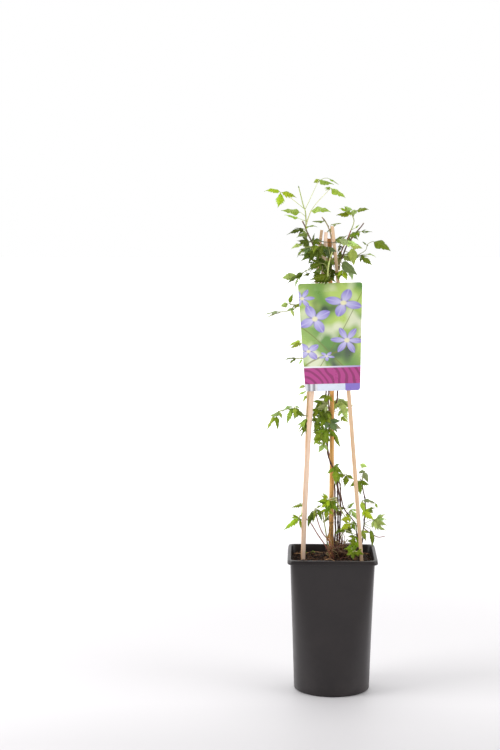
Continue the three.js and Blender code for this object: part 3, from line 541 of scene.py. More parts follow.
# Straws, root threads and sprouts: three-sided, since each is less than two millimetres across.
THREADS = 70
THREAD_START = 54  # the furthest along x or y that a thread starts from the middle
THREAD_LIMIT = 58  # the furthest that it wanders
bm = bmesh.new()
tint = bm.verts.layers.float_color.new("tint")
draw = random.Random(23)
straws = [  # route, radius, colour
    ([(-60, -38, 207), (-52, -42, 206.5), (-40, -44, 207.5), (-33, -41, 208)], 0.7,
     (205, 172, 128)),
    ([(2, -56, 206), (12, -60, 207), (24, -58, 207), (30, -55, 206)], 0.6, (214, 180, 140)),
    ([(-12, -28, 208), (-4, -34, 211), (4, -42, 209), (8, -50, 207)], 0.8, (190, 150, 112)),
    ([(-18, -50, 206), (-10, -46, 208), (0, -40, 209)], 0.6, (170, 128, 92)),
    ([(-40, 30, 207), (-28, 36, 208), (-14, 34, 207)], 0.6, (196, 160, 118)),
    ([(20, 40, 207), (30, 30, 208), (44, 34, 206)], 0.7, (180, 140, 100)),
    ([(-60, 26, 207), (-53, 25, 207.5), (-46, 26, 207)], 0.9, (214, 178, 138)),
    ([(-47, 24, 205), (-43, 23, 211), (-39, 21, 209)], 0.9, (112, 150, 58)),
    ([(-34, 28, 205), (-30, 27, 211), (-26, 25, 208)], 0.9, (104, 140, 56)),
]
for _ in range(THREADS):
    x, y = draw.uniform(-THREAD_START, THREAD_START), draw.uniform(-THREAD_START, THREAD_START)
    heading = draw.uniform(0, 2 * math.pi)
    thread = []
    for _ in range(4):
        thread.append((x, y, soil_height(x, y, soil_share(x, y)) + draw.uniform(0.3, 1.6)))
        heading += draw.uniform(-0.7, 0.7)
        x = max(-THREAD_LIMIT, min(THREAD_LIMIT, x + math.cos(heading) * draw.uniform(2, 6)))
        y = max(-THREAD_LIMIT, min(THREAD_LIMIT, y + math.sin(heading) * draw.uniform(2, 6)))
    shade_of = draw.uniform(0.5, 1.1)
    straws.append((thread, draw.uniform(0.2, 0.42), tuple(v * shade_of for v in (160, 118, 84))))
for points, radius, colour in straws:
    rows = grow_rod(bm, smooth_route(points, 8), lambda t: circle(radius * (1 - 0.4 * t), 3))
    for row in rows:
        for corner in row:
            corner[tint] = paint(*colour)
shade(bm, 2.5)
add_piece(bm, "soil_straws", peat, "potting_soil")

# ---- Round cane ----------------------------------------------------------------------------------
# The thin bamboo cane that the young plant was first tied to, with its yellow to orange skin still
# on, a ring at each joint of the bamboo, and dark flecks where it has stood damp.
ROUND_CANE = [(-1.5, 0, 110), (-1.4, 0, 235), (-1.2, 0, 440), (-3, 0.5, 580), (-6.6, 1.5, 703)]
CANE_RADIUS = 3.7
CANE_JOINTS = (125, 262, 399, 536, 673)  # heights of the rings
CANE_STEPS = 240

# Streaks that run the length of a rod, read from its grain map: once round is 1 across, and a
# centimetre is 1 along.
fibre, fibre_in, fibre_out = new_group(
    "fibre",
    [("Grain", "Vector", None), ("Across", "Float", 12.0), ("Along", "Float", 0.3)],
    ["Streak", "Hair"],
)
stretch = node(fibre, "CombineXYZ", {
    "X": fibre_in.outputs["Across"], "Y": fibre_in.outputs["Along"], "Z": 1.0,
})
drawn_out = node(
    fibre, "VectorMath", {0: fibre_in.outputs["Grain"], 1: stretch}, operation="MULTIPLY"
)
fibre.links.new(
    node(fibre, "TexNoise", {"Vector": drawn_out, "Scale": 1.0, "Detail": 3.0}),
    fibre_out.inputs["Streak"],
)
fibre.links.new(
    node(fibre, "TexNoise", {"Vector": drawn_out, "Scale": 4.0, "Detail": 4.0, "Roughness": 0.7}),
    fibre_out.inputs["Hair"],
)


def fibred(tree, across, along):
    """The fibre group's two masks on a rod's grain map."""
    grain = node(tree, "UVMap", {}, uv_map="grain")
    return use_group(tree, fibre, {"Grain": grain, "Across": across, "Along": along})


bamboo_skin, tree = plain_material(
    "bamboo skin", Specular_IOR_Level=0.45, Coat_Weight=0.15, Coat_Roughness=0.35
)
place = object_place(tree)
streak, hair = fibred(tree, 9.0, 0.25)
blotch, fine = mottled(tree, place, 45.0)
height = axis(tree, place, "Z")
damp = times(tree, spread(tree, height, 0.36, 0.2), spread(tree, fine, 0.52, 0.62, 0, 0.75))
rings = 0.0
for joint in CANE_JOINTS:
    mark = spread(tree, apart(tree, height, joint * MM), 0.0016, 0.0004)
    rings = mark if rings == 0.0 else maths(tree, "MAXIMUM", rings, mark)
feed(
    tree,
    Base_Color=layered(
        tree, paint(214, 150, 66),
        (spread(tree, streak, 0.35, 0.65), paint(236, 184, 104)),
        (spread(tree, blotch, 0.5, 0.72, 0, 0.55), paint(196, 112, 46)),
        (damp, paint(104, 74, 44)),
        (spread(tree, height, 0.63, 0.67, 0, 0.75), paint(160, 112, 60)),  # painted shade where the crown's leaves hang over the cane's head
        (times(tree, rings, 0.7), paint(122, 78, 44)),
    ),
    Roughness=spread(tree, streak, 0.3, 0.7, 0.34, 0.52),
    Normal=bump(tree, hair, 0.2, 0.0003),
)


def cane_radius(height, t):
    """The round cane's radius, with a ridge at each joint and a slight waist under it."""
    radius = CANE_RADIUS * (1 - 0.1 * t)
    for joint in CANE_JOINTS:
        off = height - joint
        radius += 0.55 * math.exp(-((off / 1.5) ** 2)) - 0.22 * math.exp(-(((off + 4) / 2.2) ** 2))
    return radius


bm = bmesh.new()
grain = bm.loops.layers.uv.new("grain")
route = smooth_route(ROUND_CANE, CANE_STEPS)
grow_rod(
    bm, route, lambda t: circle(cane_radius(route[round(t * CANE_STEPS)].z / MM, t), 16), grain
)
shade(bm)
add_piece(bm, "round_cane", bamboo_skin, "round_bamboo", "cane_middle")

# ---- Split canes ---------------------------------------------------------------------------------
# Three strips split from thick bamboo and sawn off, which lean together over the plant. One face
# keeps a tanned trace of skin, and the rest is raw pale fibre.
SPLIT_CANES = {  # route, width, depth, their shares at the foot and the head, raw and tanned colour
    "left": (
        [(-47.5, -4, 130), (-45.2, -6.5, 210), (-43.3, -9, 275), (-39.7, -12, 354),
         (-33.2, -14.7, 456), (-16, -7, 652), (-11.4, -5, 713)],
        8, 5.6, 0.74, 0.62, (255, 223, 197), (222, 176, 134),
    ),
    "right": (
        [(51, -31.5, 130), (45, -28, 210), (34.8, -22, 338), (24, -16, 468), (7, -8, 638),
         (-2, -4.2, 722)],
        6.2, 5, 0.74, 0.8, (238, 203, 166), (212, 165, 120),
    ),
    "back": (
        [(-49, 38, 130), (-46, 35, 205), (-41, 28, 340), (-37, 21.4, 464), (-21, 9.4, 691),
         (-18, 8, 716)],
        5.6, 4.6, 1, 0.8, (230, 198, 164), (200, 156, 112),
    ),
}


def split_material(name, raw, tanned):
    """Raw pale bamboo with a tanned trace of skin down one side, at 0.55 round its grain map."""
    made, tree = plain_material(name, Roughness=0.7, Specular_IOR_Level=0.3)
    streak, hair = fibred(tree, 7.0, 0.16)
    blotch = mottled(tree, object_place(tree), 30.0)[0]
    edge = apart(tree, axis(tree, node(tree, "UVMap", {}, uv_map="grain"), "X"), 0.55)
    skin = times(tree, spread(tree, edge, 0.16, 0.08), spread(tree, blotch, 0.35, 0.6, 0.1, 0.9))
    feed(
        tree,
        Base_Color=layered(
            tree, paint(*raw),
            (spread(tree, streak, 0.38, 0.62, 0, 0.6), paint(*(v * 0.9 for v in raw))),
            (skin, paint(*tanned)),
            (spread(tree, hair, 0.6, 0.72, 0, 0.5), paint(*(v * 0.72 for v in tanned))),
        ),
        Normal=bump(tree, hair, 0.5, 0.0004),
    )
    return made


def strip_section(wide, deep):
    """The outline of a split strip with eased corners, a little crowned on its wide faces."""
    x, y = wide / 2, deep / 2
    ease = 0.3 * y
    corner = [(x, y - ease), (x - 0.3 * ease, y - 0.3 * ease), (x - ease, y)]
    quarter = corner + [(x * 0.3, y * 1.02)]
    top = quarter + [(-a, b) for a, b in reversed(quarter)]
    return top + [(-a, -b) for a, b in top]


for side, (points, wide, deep, foot, head, raw, tanned) in SPLIT_CANES.items():
    bm = bmesh.new()
    grain = bm.loops.layers.uv.new("grain")
    draw = random.Random(side)
    wander = [draw.uniform(0, 6) for _ in range(4)]

    def section(t):
        size = mix(foot, 1, t * 3) if t < 1 / 3 else mix(1, head, t * 1.5 - 0.5)
        ripple = 1 + 0.018 * math.sin(9 * t + wander[0]) + 0.012 * math.sin(31 * t + wander[1])
        dent = 1 + 0.02 * math.sin(13 * t + wander[2])
        return strip_section(wide * size * ripple, deep * size * dent)

    grow_rod(bm, smooth_route(points, 70), section, grain)
    shade(bm, 0.9)
    add_piece(
        bm, f"split_cane_{side}", split_material(f"split bamboo {side}", raw, tanned),
        "split_bamboo", f"cane_{side}",
    )

# ---- Wire tie ------------------------------------------------------------------------------------
# A turn of thin wire in dark green plastic that holds the four canes together, with its two ends
# twisted into a short tail behind them.
TIE_LOOP = [
    (-15.6, -8.9, 698), (-6, -8.8, 697.4), (3.2, -8.4, 697), (4.4, -7.2, 697), (4.5, -2.8, 697),
    (1, 1.7, 697), (-3.5, 5.5, 697.4), (-10, 8.6, 698), (-17.6, 11.8, 698.6), (-22.8, 11.8, 699),
    (-23.7, 10.7, 699), (-23.7, 6.8, 699), (-20.6, 0, 698.6), (-16.7, -7.9, 698),
]
TIE_TAIL = [(-10, 8.2, 698), (-10.6, 11, 699), (-9, 14, 702), (-10.6, 16, 706)]
WIRE_RADIUS = 0.4
TAIL_RADIUS = 0.38
LOOP_STEPS = 64

green_coat, tree = plain_material("green wire coat")
blotch, fine = mottled(tree, object_place(tree), 300.0)
feed(
    tree,
    Base_Color=blend_colours(
        tree, spread(tree, blotch, 0.3, 0.7), paint(62, 72, 46), paint(82, 92, 62)
    ),
    Roughness=spread(tree, fine, 0.3, 0.7, 0.28, 0.45),
)

bm = bmesh.new()
loop_route = smooth_route(TIE_LOOP + TIE_LOOP[:1], LOOP_STEPS)
rings = []
for k, centre in enumerate(loop_route[:-1]):
    along = (loop_route[(k + 1) % LOOP_STEPS] - loop_route[k - 1]).normalized()
    up = (Vector((0, 0, 1)) - along * along.z).normalized()
    across = up.cross(along)
    rings.append([centre + (across * x + up * y) * MM for x, y in circle(WIRE_RADIUS, 6)])
loft(bm, rings)
open_ends = [edge for edge in bm.edges if len(edge.link_faces) == 1]
bmesh.ops.bridge_loops(bm, edges=open_ends)
tail = smooth_route(TIE_TAIL, 16)
for half_turn in (0, math.pi):
    strand = []
    for k, centre in enumerate(tail):
        angle = half_turn + k * 0.9
        strand.append(centre + Vector((math.cos(angle), 0, math.sin(angle))) * 0.5 * MM)
    grow_rod(bm, strand, lambda t: circle(TAIL_RADIUS, 6))
shade(bm, 1.4)
add_piece(bm, "wire_tie_loop", green_coat, "coated_wire", "wire_tie")

# ---- Plant card ----------------------------------------------------------------------------------
# A stiff printed plastic card, wider at the top, that lies against the two front canes. The print
# is a soft-focus picture of open blue-violet blossoms, over a magenta band and a foot strip with a
# patch of grey stripes and a purple patch.
CARD_FOOT = (470, 84, -18.9)  # height, width and depth
CARD_HEAD = (635.5, 99, -11.1)
CARD_TURN = math.radians(1.6)  # turned in its own plane
CARD_MIDDLE = -2.8
CARD_THICKNESS = 1.0
CARD_CORNER = 4  # radius
CARD_EASE = 0.25  # round its edges
CARD_TALL = CARD_HEAD[0] - CARD_FOOT[0]

blossom, blossom_in, blossom_out = new_group(
    "blossom",
    [("Across", "Float", 0.0), ("Up", "Float", 0.0), ("Size", "Float", 0.2), ("Turn", "Float", 0.0),
     ("Petals", "Float", 6.0), ("Squash", "Float", 1.0)],
    ["Petal", "Rib", "Reach"],
)
flower_up = maths(blossom, "DIVIDE", blossom_in.outputs["Up"], blossom_in.outputs["Squash"])
flower_reach = maths(
    blossom, "DIVIDE",
    node(blossom, "VectorMath", {
        0: node(blossom, "CombineXYZ", {"X": blossom_in.outputs["Across"], "Y": flower_up}),
    }, output="Value", operation="LENGTH"),
    blossom_in.outputs["Size"],
)
flower_angle = maths(
    blossom, "ADD",
    maths(blossom, "ARCTAN2", flower_up, blossom_in.outputs["Across"]), blossom_in.outputs["Turn"],
)
turns = maths(blossom, "DIVIDE", flower_angle, 2 * math.pi)
petal_turn = maths(blossom, "FRACT", times(blossom, turns, blossom_in.outputs["Petals"]))
off_rib = times(blossom, apart(blossom, petal_turn, 0.5), 2.0)
limit = maths(
    blossom, "SUBTRACT", 1.0, times(blossom, maths(blossom, "POWER", off_rib, 1.3), 0.74)
)
blossom.links.new(
    spread(blossom, maths(blossom, "SUBTRACT", limit, flower_reach), -0.02, 0.05),
    blossom_out.inputs["Petal"],
)
blossom.links.new(off_rib, blossom_out.inputs["Rib"])
blossom.links.new(flower_reach, blossom_out.inputs["Reach"])

card_print, tree = plain_material(
    "card print", Specular_IOR_Level=0.5, Coat_Weight=0.3, Coat_Roughness=0.12
)
card_place = node(tree, "UVMap", {}, uv_map="print")
across, up = (axis(tree, card_place, letter) for letter in "XY")
soft = node(tree, "TexNoise", {
    "Vector": card_place, "Scale": 2.1, "Detail": 1.2, "Distortion": 0.5,
})
other = node(tree, "TexNoise", {
    "Vector": card_place, "Scale": 3.4, "Detail": 1.0, "W": 4.0,
}, noise_dimensions="4D")
picture = layered(
    tree, paint(106, 152, 76),
    (spread(tree, soft, 0.36, 0.62), paint(190, 216, 116)),
    (spread(tree, other, 0.54, 0.7), paint(74, 92, 72)),
    (spread(tree, other, 0.44, 0.28, 0, 0.9), paint(232, 236, 206)),
)
for tilt, offset, thick in ((0.5, 0.34, 0.012), (-0.9, 1.02, 0.009), (1.7, -0.18, 0.01)):
    run = maths(tree, "ADD", times(tree, across, tilt), offset)
    waver = times(tree, maths(tree, "SINE", times(tree, across, 7.0)), 0.03)
    gap = apart(tree, maths(tree, "ADD", run, waver), up)
    stalk = spread(tree, gap, thick * 1.7, thick * 0.6, 0, 0.75)
    picture = blend_colours(tree, stalk, picture, paint(122, 128, 62))
for x, y, size, turn, squash, petals in (
    (0.25, 1.12, 0.27, 0.3, 0.9, 4.0),
    (0.7, 1.36, 0.3, 1.1, 0.75, 4.0),
    (0.74, 0.78, 0.26, 0.6, 0.85, 6.0),
    (0.14, 0.62, 0.2, 0.1, 0.8, 4.0),
    (0.42, 0.54, 0.13, 0.9, 0.6, 5.0),
    (0.06, 1.44, 0.2, 0.5, 0.8, 6.0),
):
    petal, rib, reach = use_group(tree, blossom, {
        "Across": maths(tree, "SUBTRACT", across, x), "Up": maths(tree, "SUBTRACT", up, y),
        "Size": size, "Turn": turn, "Squash": squash, "Petals": petals,
    })
    petal_colour = layered(
        tree, paint(204, 200, 238),
        (spread(tree, reach, 0.25, 0.95), paint(134, 120, 206)),
        (spread(tree, rib, 0.5, 0.95, 0, 0.7), paint(86, 74, 160)),
        (spread(tree, rib, 0.1, 0.02, 0, 0.6), paint(206, 200, 238)),
        (spread(tree, reach, 0.2, 0.12), paint(236, 232, 190)),
    )
    picture = blend_colours(tree, petal, picture, petal_colour)
swirl = node(tree, "TexWave", {
    "Vector": card_place, "Scale": 3.2, "Distortion": 7.0, "Detail": 1.0, "Detail Scale": 0.8,
}, output="Fac", rings_direction="Z", wave_type="RINGS")
band = blend_colours(
    tree, spread(tree, swirl, 0.55, 0.85), paint(184, 58, 138), paint(146, 34, 106)
)
stripes = node(tree, "TexNoise", {
    "Vector": node(tree, "CombineXYZ", {"X": times(tree, across, 26.0)}),
    "Scale": 1.0, "Detail": 0.0,
})
strip = layered(
    tree, paint(228, 228, 234),
    (spread(tree, stripes, 0.47, 0.53), paint(150, 150, 158)),
    (spread(tree, across, 0.262, 0.268), paint(226, 234, 250)),
    (spread(tree, across, 0.695, 0.7), paint(138, 116, 206)),
)
rule = blend_colours(
    tree, spread(tree, across, 0.3, 1.0), paint(244, 244, 248), paint(168, 140, 214)
)
face = layered(
    tree, strip,
    (spread(tree, up, 0.109, 0.113), band),
    (spread(tree, up, 0.36, 0.364), rule),
    (spread(tree, up, 0.384, 0.388), picture),
)
front = node(tree, "Attribute", {}, output="Fac", attribute_name="printed")
blotch, fine = mottled(tree, object_place(tree), 40.0)
feed(
    tree,
    Base_Color=blend_colours(tree, front, paint(238, 238, 240), face),
    Roughness=spread(tree, blotch, 0.3, 0.7, 0.24, 0.36),
    Normal=bump(tree, fine, 0.04, 0.0002),
)

bm = bmesh.new()
bmesh.ops.create_grid(bm, x_segments=1, y_segments=1, size=0.5)
for corner in bm.verts:
    width = CARD_HEAD[1] if corner.co.y > 0 else CARD_FOOT[1]
    corner.co = Vector((corner.co.x * width, corner.co.y * CARD_TALL, 0)) * MM
bmesh.ops.bevel(
    bm, geom=list(bm.verts), offset=CARD_CORNER * MM, affect="VERTICES", segments=8, profile=0.5,
    material=-1,
)
bmesh.ops.subdivide_edges(bm, edges=[e for e in bm.edges if e.calc_length() > 0.05], cuts=9)
printed = bm.faces.layers.float.new("printed")
slab = bmesh.ops.extrude_face_region(bm, geom=list(bm.faces))["geom"]
bmesh.ops.translate(
    bm, vec=(0, 0, CARD_THICKNESS * MM),
    verts=[part for part in slab if isinstance(part, bmesh.types.BMVert)],
)
for part in slab:
    if isinstance(part, bmesh.types.BMFace):
        part[printed] = 1.0
bmesh.ops.translate(bm, vec=(0, 0, -CARD_THICKNESS / 2 * MM), verts=bm.verts)
uv = bm.loops.layers.uv.new("print")
for side in bm.faces:
    for loop in side.loops:
        x, y = loop.vert.co.x / MM, loop.vert.co.y / MM
        loop[uv].uv = (x / CARD_HEAD[1] + 0.5, (y + CARD_TALL / 2) / CARD_HEAD[1])
rim_edges = [e for e in bm.edges if e.calc_face_angle(0) > 1.2]
bmesh.ops.bevel(
    bm, geom=rim_edges, offset=CARD_EASE * MM, affect="EDGES", segments=2, profile=0.5, material=-1
)
lean = math.atan2(CARD_HEAD[2] - CARD_FOOT[2], CARD_TALL)
bmesh.ops.transform(
    bm, verts=bm.verts,
    matrix=Matrix.Translation(Vector((
        CARD_MIDDLE, (CARD_FOOT[2] + CARD_HEAD[2]) / 2, (CARD_FOOT[0] + CARD_HEAD[0]) / 2,
    )) * MM) @ Matrix.Rotation(math.pi / 2 - lean, 4, "X") @ Matrix.Rotation(CARD_TURN, 4, "Z"),
)
shade(bm, 0.5)
add_piece(bm, "plant_card", card_print, "printed_card", "plant_card")

# ---- Clematis stems and leaves -------------------------------------------------------------------
# Thin woody stems climb round the middle cane. From their joints grow long leaf stalks, each with
# one or three toothed, drooping leaflets, bright green on young shoots and dark in the crown.
STEM_TONES = {
    "bark": ((92, 64, 56), (118, 84, 70)),
    "wine": ((140, 88, 74), (164, 112, 94)),
    "tan": ((156, 130, 92), (184, 160, 116)),
    "shoot": ((184, 200, 112), (204, 218, 140)),
    "thread": ((212, 222, 150), (226, 234, 178)),
    "green": ((146, 156, 88), (176, 184, 118)),
}
# Painted highlight in part: the grey and pale tones give some leaves the whitish sheen of their
# faces as a paler colour.
LEAF_TONES = {
    "bright": (168, 194, 32), "fresh": (156, 184, 66), "lime": (172, 190, 66),
    "mid": (122, 144, 28), "deep": (80, 98, 8), "grass": (116, 142, 14), "grey": (154, 168, 112),
    "pale": (191, 217, 122), "teal": (98, 120, 70), "dried": (52, 40, 46), "vivid": (114, 140, 8),
    "lilac": (166, 168, 152), "mellow": (146, 164, 80),
}
YOUNG_TONES = ("bright", "fresh", "lime", "grass", "vivid")
LIMP_TONES = ("grey", "pale", "dried")
FULL_SPLAY = 58  # degrees from the end leaflet to a side one, less where they are narrow
SIDE_SHARE = 0.8  # a side leaflet's length beside the end one's
BLADE = 0.4  # thickness
SWELLING = 1.2  # of a stem where a stalk leaves it
WAVER = 0.6  # of old wood from side to side
OLD_LENGTH = 60  # beyond which a stem of bark wavers and has joints
STEM_STEP = 1.6
STALK_RADII = (0.55, 0.42)
STUB_RADII = (0.4, 0.3)  # between the end of a stalk and a blade
YOUNG_SWELLING = 0.9
BLADE_FOOT = 0.05  # how far a blade starts from its stalk, as a share of the end leaflet's length
NARROW_HALF = 0.74  # of a side leaflet, beside its wide half
LIMP = 1.8  # how far ageing leaves hang and curl, where others have 1
UNDERSIDE, UNDERSIDE_SHARE = (176, 194, 132), 0.3  # a pale tone, and how much of it shows below

# Half a leaflet, row by row from foot to tip, in shares of its length: how far along the rib is,
# how far along the toothed edge is, and how far out.
LEAFLET = [
    (0, 0, 0.014), (0.05, 0.06, 0.052), (0.1, 0.13, 0.116), (0.14, 0.195, 0.16),
    (0.175, 0.19, 0.108), (0.22, 0.27, 0.18), (0.28, 0.365, 0.248), (0.33, 0.45, 0.284),
    (0.375, 0.43, 0.184), (0.43, 0.505, 0.21), (0.49, 0.6, 0.228), (0.535, 0.58, 0.136),
    (0.59, 0.655, 0.144), (0.65, 0.735, 0.138), (0.695, 0.725, 0.08), (0.77, 0.805, 0.061),
    (0.88, 0.895, 0.029), (1, 1, 0),
]
LONE_LEAF = [
    (0, 0, 0.014), (0.05, 0.045, 0.11), (0.1, 0.1, 0.2), (0.16, 0.17, 0.27), (0.22, 0.235, 0.31),
    (0.28, 0.3, 0.33), (0.33, 0.36, 0.335), (0.375, 0.43, 0.33), (0.43, 0.5, 0.31),
    (0.47, 0.49, 0.25), (0.53, 0.57, 0.255), (0.59, 0.64, 0.24), (0.64, 0.7, 0.21),
    (0.68, 0.69, 0.155), (0.74, 0.77, 0.14), (0.82, 0.845, 0.095), (0.9, 0.915, 0.045), (1, 1, 0),
]
QUILT_ROWS = (4, 8, 11, 14)  # rows with a side vein, sunk a little into the blade

stem_bark, tree = plain_material("stem bark", Roughness=0.6, Specular_IOR_Level=0.35)
streak, hair = fibred(tree, 5.0, 0.8)
feed(
    tree,
    Base_Color=tinted(tree, streak, 0.32, (0.62, 0.6, 0.58), 0.68, (1.15, 1.12, 1.1)),
    Normal=bump(tree, hair, 0.5, 0.0003),
)

leaf_green, tree = plain_material("leaf green", Specular_IOR_Level=0.16)
blade_place = node(tree, "UVMap", {}, uv_map="blade")
tint = node(tree, "Attribute", {}, output="Color", attribute_name="tint")
blade_x = maths(tree, "ABSOLUTE", axis(tree, blade_place, "X"))
blade_y = axis(tree, blade_place, "Y")
rib_line = spread(tree, blade_x, 0.022, 0.008)
slant = maths(tree, "SUBTRACT", blade_y, times(tree, blade_x, 0.55))
side_run = maths(tree, "FRACT", times(tree, slant, 6.0))
side_line = spread(tree, apart(tree, side_run, 0.5), 0.09, 0.03, 0, 0.6)
veins = maths(tree, "MAXIMUM", rib_line, side_line)
blotch, fine = mottled(tree, object_place(tree), 160.0)
crinkle = mottled(tree, object_place(tree), 420.0)[0]
relief = maths(tree, "SUBTRACT", maths(tree, "MULTIPLY_ADD", crinkle, 1.4, fine), veins)
feed(
    tree,
    Base_Color=layered(
        tree, tint,
        (spread(tree, blotch, 0.35, 0.7, 0.0, 0.22), paint(70, 90, 14)),
        (times(tree, veins, 0.16), paint(196, 210, 120)),
    ),
    Roughness=spread(tree, fine, 0.3, 0.7, 0.36, 0.55),
    Normal=bump(tree, relief, 0.5, 0.0005),
)


def vary(draw, colour, amount):
    """A colour a little lighter or darker, and a little more yellow or blue."""
    light = 1 + draw.uniform(-amount, amount)
    warm = draw.uniform(-amount, amount) * 0.5
    shares = (1 + warm, 1, 1 - warm)
    return paint(*(min(250, v * light * share) for v, share in zip(colour, shares)))


def grow_stem(bm, tint, grain, draw, tone, route, radii, sides=8, pale_end=False):
    """A stem or stalk along a route. Long stems of old wood have dark joints and waver a little."""
    start, end = radii
    length = sum((b - a).length for a, b in zip(route, route[1:])) / MM
    old = pale_end and length > OLD_LENGTH
    bend = draw.uniform(0, 6)
    gap = draw.uniform(34, 52)
    if old:
        route = [
            p + Vector((
                math.sin(p.z / MM * 0.11 + bend) + 0.5 * math.sin(p.z / MM * 0.29 + 2 * bend),
                0.6 * math.sin(p.z / MM * 0.17 + bend), 0,
            )) * WAVER * MM * abs(math.sin(math.pi * k / (len(route) - 1))) ** 0.5
            for k, p in enumerate(route)
        ]

    def joint(t):
        """1 at a joint of old wood, and 0 away from it."""
        off = (length * t + 7 * bend) % gap - gap / 2
        return math.exp(-((off / 2.2) ** 2)) if old else 0.0

    def section(t):
        knots = 1 + 0.05 * math.sin(length * t * 0.35 + bend) + 0.45 * joint(t)
        return circle(mix(start, end, t) * knots, sides)

    rows = grow_rod(bm, route, section, grain)
    low, high = (vary(draw, colour, 0.08) for colour in STEM_TONES[tone])
    for k, row in enumerate(rows):
        share = k / (len(rows) - 1)
        colour = [mix(a, b, share) * (1 - 0.5 * joint(share)) for a, b in zip(low, high)]
        for corner in row:
            corner[tint] = paint(206, 186, 150) if pale_end and k == len(rows) - 1 else colour


def grow_leaflet(bm, layers, draw, outline, foot, tip, up, halves, limp, colour):
    """One toothed blade between two points: arched, a little folded, and more twisted if limp."""
    tint, uv = layers
    run = tip - foot
    length = run.length
    along = run.normalized()
    right = along.cross(up).normalized()
    up = right.cross(along)
    arch = draw.uniform(0.04, 0.16) * limp
    fold = draw.uniform(-0.05, 0.42)
    curl = draw.uniform(0.0, 1.0) * limp
    twist = draw.uniform(-0.45, 0.45) * limp * max(halves)
    roll = draw.uniform(-0.25, 0.25)
    sway = draw.uniform(-0.06, 0.06)
    wave = draw.uniform(0, 6)
    last = len(outline) - 1
    made = bmesh.ops.create_grid(bm, x_segments=6, y_segments=last, size=1)["verts"]
    spots = {}
    for corner in made:
        u = corner.co.x
        row = round((corner.co.y + 1) / 2 * last)
        rib, edge_along, edge_out = outline[row]
        edge_out *= halves[0] if u < 0 else halves[1]
        y = mix(rib, edge_along, abs(u))
        x = edge_out * u
        quilt = 0.022 * (-1 if row in QUILT_ROWS else 0.6) * math.sin(math.pi * abs(u))
        z = arch * 4 * y * (1 - y) - fold * abs(x) - curl * x * x * 2 + quilt
        z += 0.07 * math.sin(wave + y * 13 + u * 2) * u * u * (1 - y)
        turn = roll + twist * y
        x, z = (
            x * math.cos(turn) - z * math.sin(turn) + sway * math.sin(math.pi * y),
            x * math.sin(turn) + z * math.cos(turn),
        )
        spots[corner] = (edge_out * u, y)
        corner.co = foot + (right * x + along * y + up * z) * length
        corner[tint] = colour
    for face in {face for corner in made for face in corner.link_faces}:
        for loop in face.loops:
            loop[uv].uv = spots[loop.vert]
    tip_row = [corner for corner in made if spots[corner][1] == 1]
    bmesh.ops.remove_doubles(bm, verts=tip_row, dist=1e-6)


